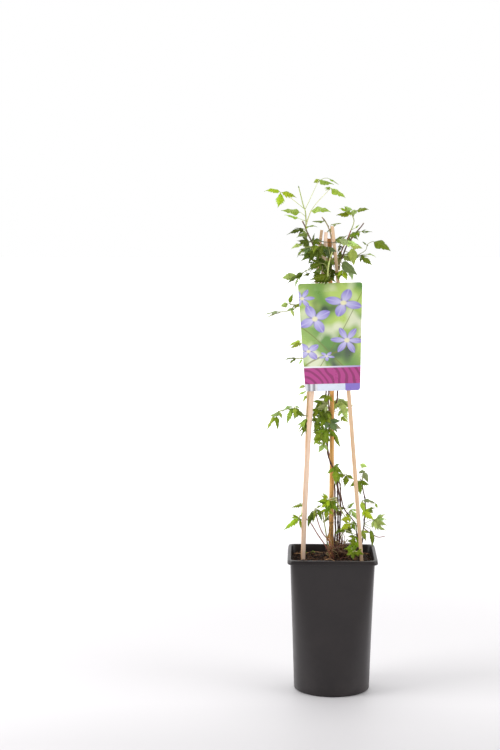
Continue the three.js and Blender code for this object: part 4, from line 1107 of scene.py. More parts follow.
def dress_shoot(name, seed, stems, leaves):
    """The wood and the leaves of one shoot, as two pieces that stand for its solid.

    A stem is its tone, the radius at both ends and a route. A leaf is its tone, the stalk's route
    to where its leaflets meet, the end leaflet's tip and the lean of its face, then the side
    leaflets' share and splay where they aren't the usual ones. Millimetres and degrees.
    """
    draw = random.Random(seed)
    wood, green = bmesh.new(), bmesh.new()
    wood_tint = wood.verts.layers.float_color.new("tint")
    grain = wood.loops.layers.uv.new("grain")
    layers = green.verts.layers.float_color.new("tint"), green.loops.layers.uv.new("blade")
    for tone, start, end, points in stems:
        reach = sum(math.dist(a, b) for a, b in zip(points, points[1:]))
        route = smooth_route(points, max(10, round(reach / STEM_STEP)))
        pale_end = tone in ("bark", "tan")
        grow_stem(wood, wood_tint, grain, draw, tone, route, (start, end), pale_end=pale_end)
    for tone, stalk, tip, lean, *sides in leaves:
        side, splay = sides or (SIDE_SHARE, FULL_SPLAY)
        meeting, end = Vector(stalk[-1]) * MM, Vector(tip) * MM
        along = (end - meeting).normalized()
        out = Vector((0, 0, 1)).cross(along)
        if out.length < 0.08:
            out = Vector((1, 0, 0))
        turn = math.radians(-lean if along.x < 0 else lean)
        out = Matrix.Rotation(turn, 3, along) @ out.normalized()
        face = along.cross(out).normalized()
        young = tone in YOUNG_TONES
        limp = LIMP if tone in LIMP_TONES else 1.0
        stalk_tone = "thread" if young else "green"
        route = smooth_route(stalk, 5 * len(stalk))
        grow_stem(wood, wood_tint, grain, draw, stalk_tone, route, STALK_RADII, sides=6)
        joint = bmesh.ops.create_icosphere(
            wood, subdivisions=2, radius=(YOUNG_SWELLING if young else SWELLING) * MM,
            matrix=Matrix.Translation(route[0]),
        )["verts"]
        for corner in joint:
            corner[wood_tint] = vary(draw, STEM_TONES[stalk_tone][0], 0.05)
        length = (end - meeting).length
        angle = math.radians(splay)
        outline = LEAFLET if side > 0 else LONE_LEAF
        width = min(1, splay / FULL_SPLAY)
        blades = [(0, 1.0, (width, width))]
        if side > 0:
            narrow = NARROW_HALF * width
            blades += [(angle, side, (narrow, width)), (-angle, side, (width, narrow))]
        leaf_colour = vary(draw, LEAF_TONES[tone], 0.1)
        for turn, size, halves in blades:
            heading = along * math.cos(turn) + out * math.sin(turn)
            start = meeting + heading * length * BLADE_FOOT
            finish = meeting + heading * length * size
            if turn:
                finish -= face * length * size * draw.uniform(-0.08, 0.12)
            grow_stem(
                wood, wood_tint, grain, draw, stalk_tone, [meeting, start.lerp(finish, 0.04)],
                STUB_RADII, sides=5,
            )
            light = draw.uniform(0.78, 1.2)
            colour = [v * light * draw.uniform(0.95, 1.05) for v in leaf_colour[:3]] + [1]
            grow_leaflet(green, layers, draw, outline, start, finish, face, halves, limp, colour)
    tint = layers[0]
    lift = green.verts.layers.float_vector.new("lift")
    green.normal_update()
    for corner in green.verts:
        corner[lift] = corner.normal
    under = bmesh.ops.extrude_face_region(green, geom=list(green.faces), use_keep_orig=True)["geom"]
    for corner in (part for part in under if isinstance(part, bmesh.types.BMVert)):
        corner.co -= Vector(corner[lift]) * BLADE * MM
        shades = zip(corner[tint], paint(*UNDERSIDE))
        corner[tint] = [mix(above, pale, UNDERSIDE_SHARE) for above, pale in shades]
    shade(green, 1.0)
    shade(wood, 1.0)
    add_piece(wood, f"{name}_stems", stem_bark, "clematis", name)
    add_piece(green, f"{name}_leaves", leaf_green, "clematis", name)


dress_shoot("vine_front", 0, [
    ("bark", 1.35, 1.1, [
        (4.6, 3, 180), (6, 0, 205), (8, -3, 240), (9, -5, 280), (7, -7, 320), (3, -8, 345),
        (-4, -8.5, 358), (-8, -5, 372), (-9, -2, 400), (-10, -2, 430), (-10.5, -2, 460),
        (-10, -3, 500), (-9, -4, 540), (-10, -3, 580), (-11.5, -1, 620), (-12, 2.6, 642),
    ]),
    ("shoot", 1.1, 0.9, [
        (-11.6, 0, 628), (-9, -14, 640), (-8.6, -24, 652), (-7.5, -25, 664), (-4.5, -20, 676),
        (-0.5, -11.5, 687),
    ]),
    ("tan", 0.9, 0.6, [(6.4, -0.6, 212), (1, -6, 224), (-3, -11, 236)]),
    ("bark", 0.9, 0.6, [(6.3, -0.4, 210), (6, -8, 222), (9, -14, 234)]),
    ("tan", 0.9, 0.6, [(6.6, -0.9, 215), (0, -5.4, 226), (-2, -6.4, 244)]),
], [
    ("bright", [(8, -6, 300), (2, -11, 303), (-5.5, -13, 300)], (-22, -18, 298), 52, 0.9, 62),
    ("grass", [(8, -6, 300), (3, -12, 299), (-3, -13, 298.5)], (-12.5, -20, 278.5), 52, 0.95, 62),
    ("bright", [(9, -5, 285), (2, -12, 290), (-7, -13, 285)], (-11.5, -16, 268.5), 54, 0.75, 58),
    ("mid", [(8, -6, 302), (3, -10, 303), (-0.5, -11, 300.5)], (5.5, -14, 289.5), 20, 0.75, 50),
    ("mid", [(8, -3.5, 245), (6, -12, 246)], (10, -16, 255), 20, 0.7, 58),
    ("pale", [(-9, -3, 385), (-14, -5, 387)], (-23.5, -9, 372), 60),
    ("mid", [(-9, -2, 398), (-12, -8, 403)], (-30, -16, 384), 40),
    ("teal", [(-9.6, -2, 415), (-6, -11, 424)], (8, -17, 404), 40),
    ("mid", [(-10, -2, 430), (-12, -5, 442)], (-26, -14, 416), 35),
    ("grass", [(-10.4, -2, 448), (-18.5, -8, 454)], (-28, -8.5, 440), 30, 0.8, 50),
    ("mid", [(-10.2, -2, 456), (-9, -6, 463)], (-13, -10, 446), 30, 0.9, 50),
    ("mid", [(-9.3, -2, 404), (-7, -9, 410)], (-14, -20, 387), 30),
    ("mid", [(-10, -2, 432), (-17.5, -9, 435.5)], (-28.5, -9, 412), 0, 0.85, 50),
    ("mid", [(-9.6, -2, 420), (-10.5, -9, 430)], (-19, -14, 412), 30, 0.85, 56),
    ("grey", [(-10.4, -2, 452), (-13, -6, 453.5)], (-15, -12, 440.5), 20, 0.8, 54),
    ("grass", [(-9.2, -2.4, 402), (-19, -4, 412)], (-27.5, -6, 396), 20, 0.85, 50),
    ("mid", [(-9, -3, 388), (-12, -9, 399)], (-15, -14, 382.5), 20, 0.8, 50),
    ("deep", [(-8.8, -23, 652), (-13, -22, 664), (-19.5, -20, 666)],
     (-38.5, -27, 655.5), 66, 0.8, 50),
    ("deep", [(-11.5, -1, 626), (-8, -13, 641), (-5, -18, 648)], (-38, -23, 640), 76, 0.5, 40),
    ("teal", [(-5, -21, 675), (-8, -14, 691)], (-8, -17, 671), 0),
    ("deep", [(-8.7, -23, 655), (-13, -16, 670)], (-15, -18, 652), 0, 0.85, 58),
    ("deep", [(-7.6, -24.8, 662), (-2, -14.5, 672)], (1, -15, 653), 0, 0.8, 50),
    ("deep", [(-11.8, 1.4, 636), (-22, -4, 648), (-23, -12, 657)], (-27, -15, 640), 0),
    ("deep", [(-12, 2.2, 640), (-6, -10, 650), (-3.5, -5, 652.5)], (1, -9, 638.5), 44, 0.8, 50),
    ("teal", [(-8.7, -23, 656), (-12.5, -14, 689)], (-11, -15, 674.5), 0, 0.7, 46),
    ("deep", [(-8.8, -22, 650), (-11, -16, 669)], (-12.5, -16, 657.5), 0, 0.9, 58),
    ("deep", [(-9.2, -12, 638), (-23.5, -15, 652)], (-32, -18, 644), 50, 0.85, 50),
    ("deep", [(-9, -13, 639), (-10, -16, 648.5)], (-17.5, -20, 638.5), 30, 0.8, 56),
    ("deep", [(-0.5, -11.5, 687), (-4.5, -5, 686.5)], (-4.5, -5, 668), 0, 0.7, 38),
    ("deep", [(-0.5, -11.5, 687), (-4, -5, 671)], (-5, -5, 652), 0, 0.75, 44),
    ("deep", [(-11.6, 0, 628), (-4, -6, 658)], (-4.5, -6, 637.5), 0, 0.8, 46),
    ("deep", [(-9, -14, 640), (-11, -14, 661.5)], (-11, -15, 641.5), 0, 0.6, 36),
    ("deep", [(-9, -14, 640), (-4, -15, 641)], (-34.5, -20, 636), 58, 0.5, 36),
    ("deep", [(-9, -14, 640), (-5.5, -15, 644)], (4.5, -17, 635), 60, 0.6, 44),
    ("grey", [(-10.3, -2, 447), (-9, -11, 448)], (-26, -15, 442), 62, 0.8, 56),
    ("mid", [(-10.3, -2, 447), (-16.5, -8, 451.5)], (-28.5, -12, 437), 60, 0.8, 56),
    ("grass", [(-10.1, -2, 438), (-22, -12, 441)], (-30, -14, 423.5), 72, 0.8, 54),
    ("deep", [(-10.1, -2, 435), (-10.5, -12, 438)], (-9, -14, 422), 36, 0.8, 50),
    ("mid", [(-9.7, -2, 420), (-17.5, -11, 418.5)], (-29, -13, 405.5), 70, 0.8, 56),
    ("lilac", [(-9.8, -2, 424), (1, -8, 417.5)], (13.5, -6, 409.5), 68, 0, 54),
    ("mid", [(-9.1, -2, 404), (-16.5, -14, 405)], (-31, -15, 391.5), 68, 0.8, 52),
    ("bright", [(8, -6, 300), (-4.5, -14, 295)], (-18.5, -18, 287), 60, 0.85, 60),
    ("grass", [(8, -6, 300), (-1.5, -14.5, 299)], (0, -17, 285), 30, 0.8, 56),
    ("bright", [(8, -6, 300), (-8.5, -13, 302.5)], (-18.5, -14, 307), 54, 0.7, 56),
])
dress_shoot("vine_right", 1, [
    ("bark", 1.3, 1.2, [
        (9, 4.4, 180), (10, 3, 205), (11, 1, 240), (13, -1, 275), (11, 2, 305), (6.6, 5.2, 332),
        (0, 6.2, 350), (-5.6, 4.4, 368), (-7.4, 3, 392), (-5.4, 4.4, 414), (0, 6, 430),
        (5, 3.6, 446), (7, 0, 466), (9, -1, 500), (10, 0, 550), (8, 2, 600), (7, 3, 640),
        (7.6, 3.6, 652),
    ]),
    ("tan", 0.9, 0.6, [(10.2, 2.6, 212), (17, 0, 222), (20, -2, 233)]),
    ("bark", 0.9, 0.6, [(10.4, 2.2, 216), (15, -4, 226), (16, -9, 242)]),
    ("tan", 0.9, 0.6, [(10.3, 2.4, 214), (18, 6, 224), (24, 8, 234)]),
], [
    ("pale", [(5, 3.6, 446), (12, 6, 452.5)], (18.5, 0, 426), 46, 0.85, 54),
    ("pale", [(2.4, 5.2, 438), (6, 11, 451), (9, 12, 455)], (14, 11, 434), 76, 0.85, 56),
    ("mid", [(9.5, -0.5, 530), (16, 8, 536)], (28, 16, 522), -30),
    ("mid", [(9, 1, 580), (20, 6, 588)], (32, 12, 572), -30),
    ("lime", [(1.3, 5.4, 434), (13, 5, 427)], (26, 0, 419), 58, 0.6, 44),
    ("pale", [(1.3, 5.4, 434), (16, 3, 441)], (24.5, -1, 422), 62, 0.8, 50),
])
dress_shoot("vine_back", 2, [
    ("bark", 1.35, 1.2, [
        (2, 8.4, 180), (3, 8, 205), (5, 9, 250), (4, 9, 300), (1, 9, 350), (-3, 9, 400),
        (-6, 7, 450), (-7, 6, 520), (-3, 8, 570), (-1, 9, 600), (-3, 9, 640), (-6, 9.5, 680),
    ]),
    ("tan", 0.9, 0.6, [(3.3, 8.2, 212), (-3, 12, 222), (-6, 14, 234)]),
    ("bark", 0.9, 0.6, [(3.5, 8.3, 216), (8, 15, 226), (10, 20, 240)]),
], [
    ("mid", [(-4, 8.5, 412), (-12, 6, 422), (-20, 2, 425)], (-29, -6, 406), 30),
    ("mid", [(4.6, 9, 270), (8, 18, 280)], (16, 30, 266), -40),
    ("mid", [(2.5, 9, 325), (6, 18, 334)], (11, 30, 318), -40),
    ("fresh", [(-2.6, 9, 396), (3, 2, 402.5)], (12.5, 0, 379), 74, 0, 24),
    ("mid", [(-6, 6.5, 485), (-12, 15, 494)], (-24, 24, 480), -40),
    ("mid", [(-1.6, 9, 590), (6, 18, 600)], (14, 29, 586), -40),
    ("mid", [(-2.4, 9, 625), (-10, 20, 632)], (-20, 30, 618), -40),
])
dress_shoot("vine_low_front", 3, [
    ("bark", 1.2, 0.9, [
        (36.6, 12.4, 185), (38, 11, 205), (39, 9, 240), (37, 7, 258), (28, 4, 271), (20, -6, 281),
        (15, -8.5, 294), (12.4, -10, 318), (8, -12, 342),
    ]),
], [
    ("mid", [(8.6, -11.8, 340), (6, -13, 353), (3.5, -13, 352)], (4, -17, 321.5), 6, 0.6, 46),
    ("mid", [(12, -10.2, 320), (17, -7, 337), (21.5, -5, 338.5)], (18.5, -11, 318.5), 20, 0.72, 62),
    ("bright", [(30, 4.6, 269), (28, -8, 271.5)], (11.5, -15, 268), 50, 0.6, 58),
    ("bright", [(38.6, 8, 247), (36, 0, 258), (27.5, -6, 262)], (10.5, -15, 252.5), 50, 0.5, 54),
    ("grass", [(38.6, 8, 249), (38, 1, 264), (30.5, -2, 263)], (36.5, -5, 248.5), 58, 0.6, 50),
    ("grass", [(38.8, 9, 240), (17.5, -10, 253.5)], (7.5, -14, 248), 40, 0.6, 44),
    ("fresh", [(20, -6, 281), (23.5, -2, 284.5)], (36, -4, 296), 50, 0.5, 34),
    ("pale", [(24, -1, 276), (28.5, 7, 281)], (39.5, 3, 263.5), 40, 0.6, 46),
    ("mid", [(8.6, -11.8, 340), (2, -13.5, 352.5)], (12.5, -15, 344.5), 56),
    ("mid", [(8.6, -11.8, 340), (7.5, -14, 341)], (10.5, -16, 327), 54, 0.75, 50),
])
dress_shoot("vine_low_right", 4, [
    ("bark", 1.2, 0.9, [
        (42.6, 20.4, 185), (44, 19, 205), (49, 16, 245), (51, 14, 262), (51.5, 12, 290),
        (48, 10, 315), (44, 8, 330),
    ]),
    ("wine", 0.8, 0.6, [(49.8, 15.6, 250), (62, 4, 243), (72, 0, 239), (82, -2, 241)]),
], [
    ("grass", [(47, 9.5, 320), (41.5, 6, 327.5)], (43.5, -1, 304.5), 10, 0.8, 60),
    ("pale", [(46, 9, 324), (48, 12, 340), (43.5, 14, 351.5)], (55, 11, 348), 58, 0, 56),
    ("grey", [(46.5, 9.4, 322), (47, 12, 330), (41, 12, 339.5)], (52.5, 10, 340.5), 66, 0, 42),
    ("grey", [(46.5, 9.4, 322), (48, 12, 329), (48.5, 9, 341)], (55.5, 5, 323.5), 58, 0, 44),
    ("grey", [(51.5, 12, 288), (46, 10, 295)], (68.5, 6, 290), 48, 0, 26),
    ("lime", [(51, 11.6, 290), (45.5, 8, 293.5)], (50.5, 4, 275.5), 50, 0, 36),
    ("bright", [(51.4, 13, 272), (48.5, 6, 280)], (66, -3, 266), 50, 0.5, 56),
    ("pale", [(51, 14, 258), (60, 8, 264), (66, 3, 266)], (85.5, -6, 258), 50, 0.85, 56),
    ("lime", [(51, 14, 257), (58, 8, 255), (68.5, 2, 255.5)], (84.5, -3, 249.5), 60, 0.5, 36),
    ("mid", [(50.5, 15, 254), (60, 1, 251)], (62, -3, 223), 26, 0, 24),
    ("fresh", [(49.6, 16, 249), (46.5, 5, 248.5)], (53.5, -1, 232), 48, 0.7, 50),
    ("mid", [(51.4, 13, 272), (56, 22, 280)], (66, 32, 270), -40),
    ("fresh", [(51.5, 12, 288), (46, 10, 295), (60.5, 7, 291), (67.5, 6, 291.5)],
     (71, 5, 283.5), 72, 0, 44),
    ("pale", [(51, 14, 258), (60, 8, 264), (63.5, 2, 265.5)], (80.5, -2, 250), 62, 0.6, 50),
    ("pale", [(51, 14, 258), (60, 8, 264), (69, 2, 267)], (85.5, 0, 266), 60, 0.7, 54),
])
dress_shoot("leaves_low_left", 5, [
    ("wine", 1, 0.8, [
        (4, -8, 190), (2, -9, 206), (-4, -9.4, 232), (-15, -11, 247), (-22, -12, 264),
        (-27, -12, 285),
    ]),
    ("wine", 1, 0.8, [
        (3, -9, 190), (-3, -10, 212), (-10, -10, 226), (-23, -9, 245), (-34, 0, 261),
        (-45, 2.5, 270), (-51, 1, 272),
    ]),
], [
    ("deep", [(-24, -12, 275), (-31.5, -13, 282)], (-37.5, -18, 257), 20, 0, 34),
    ("lime", [(-25, -12, 277), (-27.5, -12.5, 283.5)], (-30, -16, 263), 34, 0.3, 44),
    ("grass", [(-26, -12, 281), (-24.5, -13, 286)], (-15.5, -23, 265), 20, 0.35, 30),
    ("mid", [(-27, -12, 285), (-24, -13, 287.5)], (-15.5, -15, 291), 40, 0.5, 40),
    ("bright", [(-49, 1.8, 271.6), (-51.5, -2, 270.5)], (-77, -12, 250), 40, 0.45, 34),
    ("bright", [(-50, 1.4, 271.8), (-52.5, 0, 269.5)], (-63.5, -4, 274), 40, 0, 44),
    ("bright", [(-49.4, 1.6, 271.6), (-51, 0, 268.5)], (-48.5, -6, 250.5), 20, 0.4, 36),
    ("bright", [(-50.4, 1.2, 272), (-49.5, 1, 270.5)], (-45, 0, 277.5), 20, 0, 40),
    ("fresh", [(-48, 2, 271), (-47, 4, 288), (-45, 1, 290)], (-65.5, -4, 285), 52, 0.4, 30),
])
dress_shoot("leaves_soil", 6, [
    ("green", 1.2, 0.9, [(28, -2, 188), (31, -6, 212), (34, -9, 233)]),
], [
    ("vivid", [(33.6, -8.6, 231), (34, -11, 236.5)], (28.5, -17, 225), 40, 0.85, 58),
    ("vivid", [(33.2, -8.2, 229), (37.5, -14, 234.5)], (42, -19, 224.5), 50, 0.8, 52),
    ("vivid", [(32, -7, 219), (27, -16, 226), (32, -20, 225)], (23, -28, 214), 30, 0.9, 58),
    ("vivid", [(31, -6, 211), (31, -22, 221), (37.5, -33, 223)], (49, -37, 218.5), 60, 0.75, 50),
    ("vivid", [(30, -5, 206), (28, -17, 217), (32, -30, 222)], (31.5, -39, 210.5), 0, 0.9, 60),
    ("vivid", [(31, -6, 212), (33.5, -14, 230)], (34, -26, 219.5), 2, 0.9, 60),
    ("vivid", [(34, -9, 233), (36, -9, 242.5)], (29.5, -13, 231), 54, 0.9, 56),
    ("vivid", [(31, -6, 212), (29.5, -25, 225)], (23, -31, 219), 40, 0.9, 58),
])
dress_shoot("leaves_low_back", 7, [
    ("green", 1.1, 0.9, [(-4, 14, 190), (-8, 20, 232), (-14, 26, 268)]),
    ("green", 1, 0.9, [(-4, 14, 196), (8, 26, 222), (20, 34, 244)]),
], [
    ("mid", [(-13.6, 25.6, 264), (-17, 27, 275)], (-28, 36, 264), -30),
    ("mid", [(-13, 25, 258), (-6, 27, 266)], (4, 38, 256), -50),
    ("fresh", [(10, 27, 226), (4, 38, 226)], (-4, 50, 214), -40),
    ("mid", [(18, 33, 241), (20, 34, 246)], (34, 42, 234), -40),
])
dress_shoot("leaves_mid_left", 8, [
    ("green", 1, 0.8, [
        (-3.6, 8.8, 408), (-20, 8, 428), (-37, 4, 428), (-52, 3, 432), (-64, 4, 439), (-78, 5, 437),
        (-87, 6, 433),
    ]),
], [
    ("grass", [(-82, 5.2, 436), (-87.5, 5, 429.5)], (-85, -3, 406.5), 0, 0, 28),
    ("fresh", [(-84, 5.8, 435), (-89.5, 7, 429.5)], (-102, 2, 405), 10, 0, 25),
    ("pale", [(-84, 5.8, 435), (-83.5, 9, 433)], (-99, 6, 426), 30, 0, 18),
    ("fresh", [(-80, 5, 437), (-82.5, 2, 434)], (-79, -2, 424.5), 40, 0, 40),
    ("fresh", [(-62, 4, 438), (-62.5, 4, 441.5)], (-72, -4, 414.5), 48, 0.3, 34),
    ("fresh", [(-62, 4, 438), (-59.5, 3, 442.5)], (-56.5, -3, 426), 26, 0, 34),
    ("grass", [(-61, 4, 437), (-57, 3, 442)], (-46.5, -3, 426), 20, 0, 36),
    ("pale", [(-63, 4, 438.6), (-63, 5, 443)], (-75.5, 1, 436), 40, 0, 40),
    ("pale", [(-61, 4, 437), (-58.5, 6, 444)], (-50, 4, 439.5), 50, 0, 30),
    ("fresh", [(-37, 4, 428), (-40, 3, 424.5)], (-54, -3, 403.5), 20, 0.85, 30),
    ("grass", [(-36, 4, 428), (-38, 1, 415.5)], (-49.5, -4, 393.5), 20, 0.85, 28),
    ("grass", [(-38, 4, 428), (-39, 7, 423)], (-43, 4, 401.5), 20, 0.8, 30),
    ("mid", [(-50, 3, 431), (-54, 12, 436)], (-60, 24, 420), -30),
    ("pale", [(-75, 5.6, 437.5), (-79.5, 4, 433.5)], (-96, 6, 427), 58, 0, 34),
])
dress_shoot("leaves_card_middle", 9, [
    ("green", 1, 0.8, [
        (-4, 7.6, 556), (-14, 4.6, 572), (-25, 3, 585), (-45, 8, 597), (-67, 10, 602),
    ]),
], [
    ("pale", [(-66, 9.8, 601.8), (-69.5, 10, 602.5)], (-81.5, 8, 598.5), 72, 0, 58),
    ("mid", [(-66, 9.8, 601.8), (-67.5, 12, 602.5)], (-62, 10, 618), 106, 0, 36),
    ("mid", [(-52, 8.6, 599), (-52, 9, 603.5)], (-60.5, 7, 595), 30, 0, 44),
    ("pale", [(-56, 9, 600), (-59, 12, 594)], (-71.5, 13, 591.5), 62, 0, 34),
    ("pale", [(-58, 9.4, 600.4), (-65, 9, 593.5)], (-61, 6, 581.5), 50, 0, 36),
    ("grey", [(-60, 9.4, 600.6), (-66, 13, 593), (-80.5, 16, 590)], (-106, 20, 584.5), 42, 0, 14),
    ("grey", [(-60, 9.4, 600.6), (-66, 14, 592), (-82, 18, 588.5)], (-103.5, 22, 578.5), 44, 0, 12),
    ("fresh", [(-26, 3, 586), (-38, 9, 562), (-49.5, 7, 545.5)], (-68.5, 5, 536.5), 46, 0, 32),
    ("lime", [(-25.5, 3, 585.6), (-36, 4, 561), (-48.5, 2, 542)], (-67, -1, 533), 64, 0.4, 36),
])
dress_shoot("leaves_card_foot", 10, [
    ("green", 1, 0.8, [(-6.8, 6.4, 488), (-20, 4, 500), (-36, 2, 512), (-50, 9, 519)]),
], [
    ("grey", [(-48, 8, 518), (-55.5, 10, 517.5)], (-76, 14, 513), 60, 0, 12),
    ("mid", [(-48, 8, 518), (-57.5, 9, 516.5)], (-67.5, 8, 508.5), 30, 0, 32),
    ("fresh", [(-47, 7.4, 517.6), (-48.5, 8, 516.5)], (-52, 6, 508), 10, 0, 44),
    ("pale", [(-30, 3, 507), (-34, 6, 486), (-42.5, 4, 475.5)], (-53.5, 1, 471), 30, 0, 40),
    ("fresh", [(-33, 5.4, 490), (-37, 6, 476), (-41.5, 3, 467.5)], (-54, -1, 461.5), 30, 0, 40),
    ("fresh", [(-34, 6, 487), (-38, 9, 472), (-40.5, 7, 461.5)], (-45.5, 5, 449.5), 20, 0, 38),
])
dress_shoot("crown_left", 11, [
    ("bark", 1.4, 1, [
        (-12.6, 3.6, 650), (-16, 3, 662), (-22, 1, 678), (-34, -4, 700), (-41, -6, 715),
        (-48, -7, 730),
    ]),
    ("shoot", 1, 0.8, [(-42, -6, 716), (-43.5, -8, 745), (-46, -9, 752), (-53, -10, 779)]),
], [
    ("bright", [(-44.4, -8.6, 748), (-66, -8, 765), (-81, -8, 774)],
     (-85.5, -20, 749.5), 20, 0.92, 81),
    ("fresh", [(-44, -8.4, 747), (-34, -10, 768), (-23, -10, 792.5)], (0, -13, 785), 38, 0, 58),
    ("fresh", [(-24, -10, 789), (-22, -8, 793.5)], (-31, -10, 788), 66, 0, 58),
    ("fresh", [(-23.4, -9, 790.4), (-14, -5, 795), (-9, -4, 795)], (7, -8, 785), 40, 0, 16),
    ("fresh", [(-42.4, -6.6, 722), (-33, -3, 748), (-5, 1, 780)], (18, -2, 765), 36, 0, 54),
    ("fresh", [(-12, 1, 777), (-4, 3, 780)], (-14, 2, 780), 60, 0, 56),
    ("fresh", [(-43.4, -7.6, 737), (-50.5, -13, 743)], (-80.5, -16, 745.5), 24, 0, 50),
    ("fresh", [(-43, -7, 730), (-54, -4, 734)], (-75.5, -2, 739), 24, 0, 40),
    ("fresh", [(-42.6, -7, 726), (-38, -9, 738), (-35.5, -10, 745.5)],
     (-4.5, -16, 743.5), 24, 0, 58),
    ("deep", [(-39, -5.4, 711), (-45.5, -12, 718)], (-72, -20, 708.5), 46, 0.5, 30),
    ("mid", [(-41, -6, 714), (-44, -13, 718.5)], (-24.5, -17, 720.5), 40, 0, 20),
    ("deep", [(-38, -5, 708), (-47.5, -11, 717)], (-52, -14, 710.5), 30, 0, 40),
    ("deep", [(-34, -4, 700), (-37.5, -13, 697)], (-56.5, -21, 700), 50, 0.8, 44),
    ("pale", [(-33, -3.6, 698), (-47, -7, 695)], (-65, -12, 687), 40, 0, 34),
    ("mid", [(-30, -2.4, 692), (-44.5, 1, 688.5)], (-56, -4, 674), 30, 0.5, 32),
    ("deep", [(-25, -0.4, 683), (-33, -12, 679.5)], (-51, -19, 668), 50, 0.9, 34),
    ("teal", [(-28, -1.6, 688), (-37, -8, 690)], (-45, -13, 673.5), 30, 0.7, 40),
    ("deep", [(-34, -4, 700), (-33, -8, 698)], (-29, -10, 711), 0, 0, 50),
    ("teal", [(-33, -3.6, 698), (-30, -11, 699)], (-16, -14, 698), 60, 0.6, 50),
    ("mid", [(-24, 0, 681), (-26, -14, 693)], (-31, -17, 680), 20),
    ("deep", [(-19, 2, 671), (-20.4, -8, 684), (-18, -20, 693)], (-18, -23, 676), 0, 0.7, 50),
    ("deep", [(-22, 1, 677), (-27, -8, 680), (-29, -12, 684)], (-37, -17, 669), 60, 0.8, 50),
    ("deep", [(-14, 3.4, 657), (-30, -2, 656), (-45, -8, 652)], (-71, -14, 634), 40, 0, 26),
    ("pale", [(-38, -5.4, 656.4), (-56, 2, 645.5)], (-79.5, -2, 642), 64, 0, 50),
    ("pale", [(-42, -3.6, 654.6), (-51.5, 7, 646)], (-56, 5, 624), 0, 0.5, 40),
    ("deep", [(-33, -3.3, 656.1), (-36.5, -10, 650)], (-47.5, -15, 646), 60, 0.6, 34),
    ("deep", [(-20, 2, 672), (-30, -12, 667.5)], (-37.5, -17, 657), 30, 0.7, 50),
    ("mid", [(-25, -0.4, 683), (-34, 11, 690)], (-48, 21, 680), -40),
    ("mid", [(-36, -4.6, 704), (-42, 8, 712)], (-57, 16, 704), -40),
    ("grass", [(-53, -10, 779), (-53, -11, 779.5)], (-54.5, -11, 783.5), 90, 0, 40),
    ("deep", [(-25, -0.4, 683), (-24.5, -12, 687.5)], (-23, -16, 667.5), 20, 0.8, 50),
    ("deep", [(-20, 2, 672), (-13, -14, 670)], (-30.5, -20, 659), 56, 0.8, 50),
    ("deep", [(-22, 1, 676), (-19.5, -13, 683.5)], (-10, -16, 673.5), 64, 0.8, 50),
    ("deep", [(-34, -4, 700), (-31.5, -13, 699.5)], (-18.5, -15, 692.5), 60, 0.8, 50),
    ("deep", [(-34, -4, 700), (-37.5, -11, 698.5)], (-53.5, -14, 694), 54, 0.8, 56),
    ("teal", [(-25, -0.4, 683), (-32, -9, 682)], (-47.5, -13, 671), 62, 0.8, 54),
])
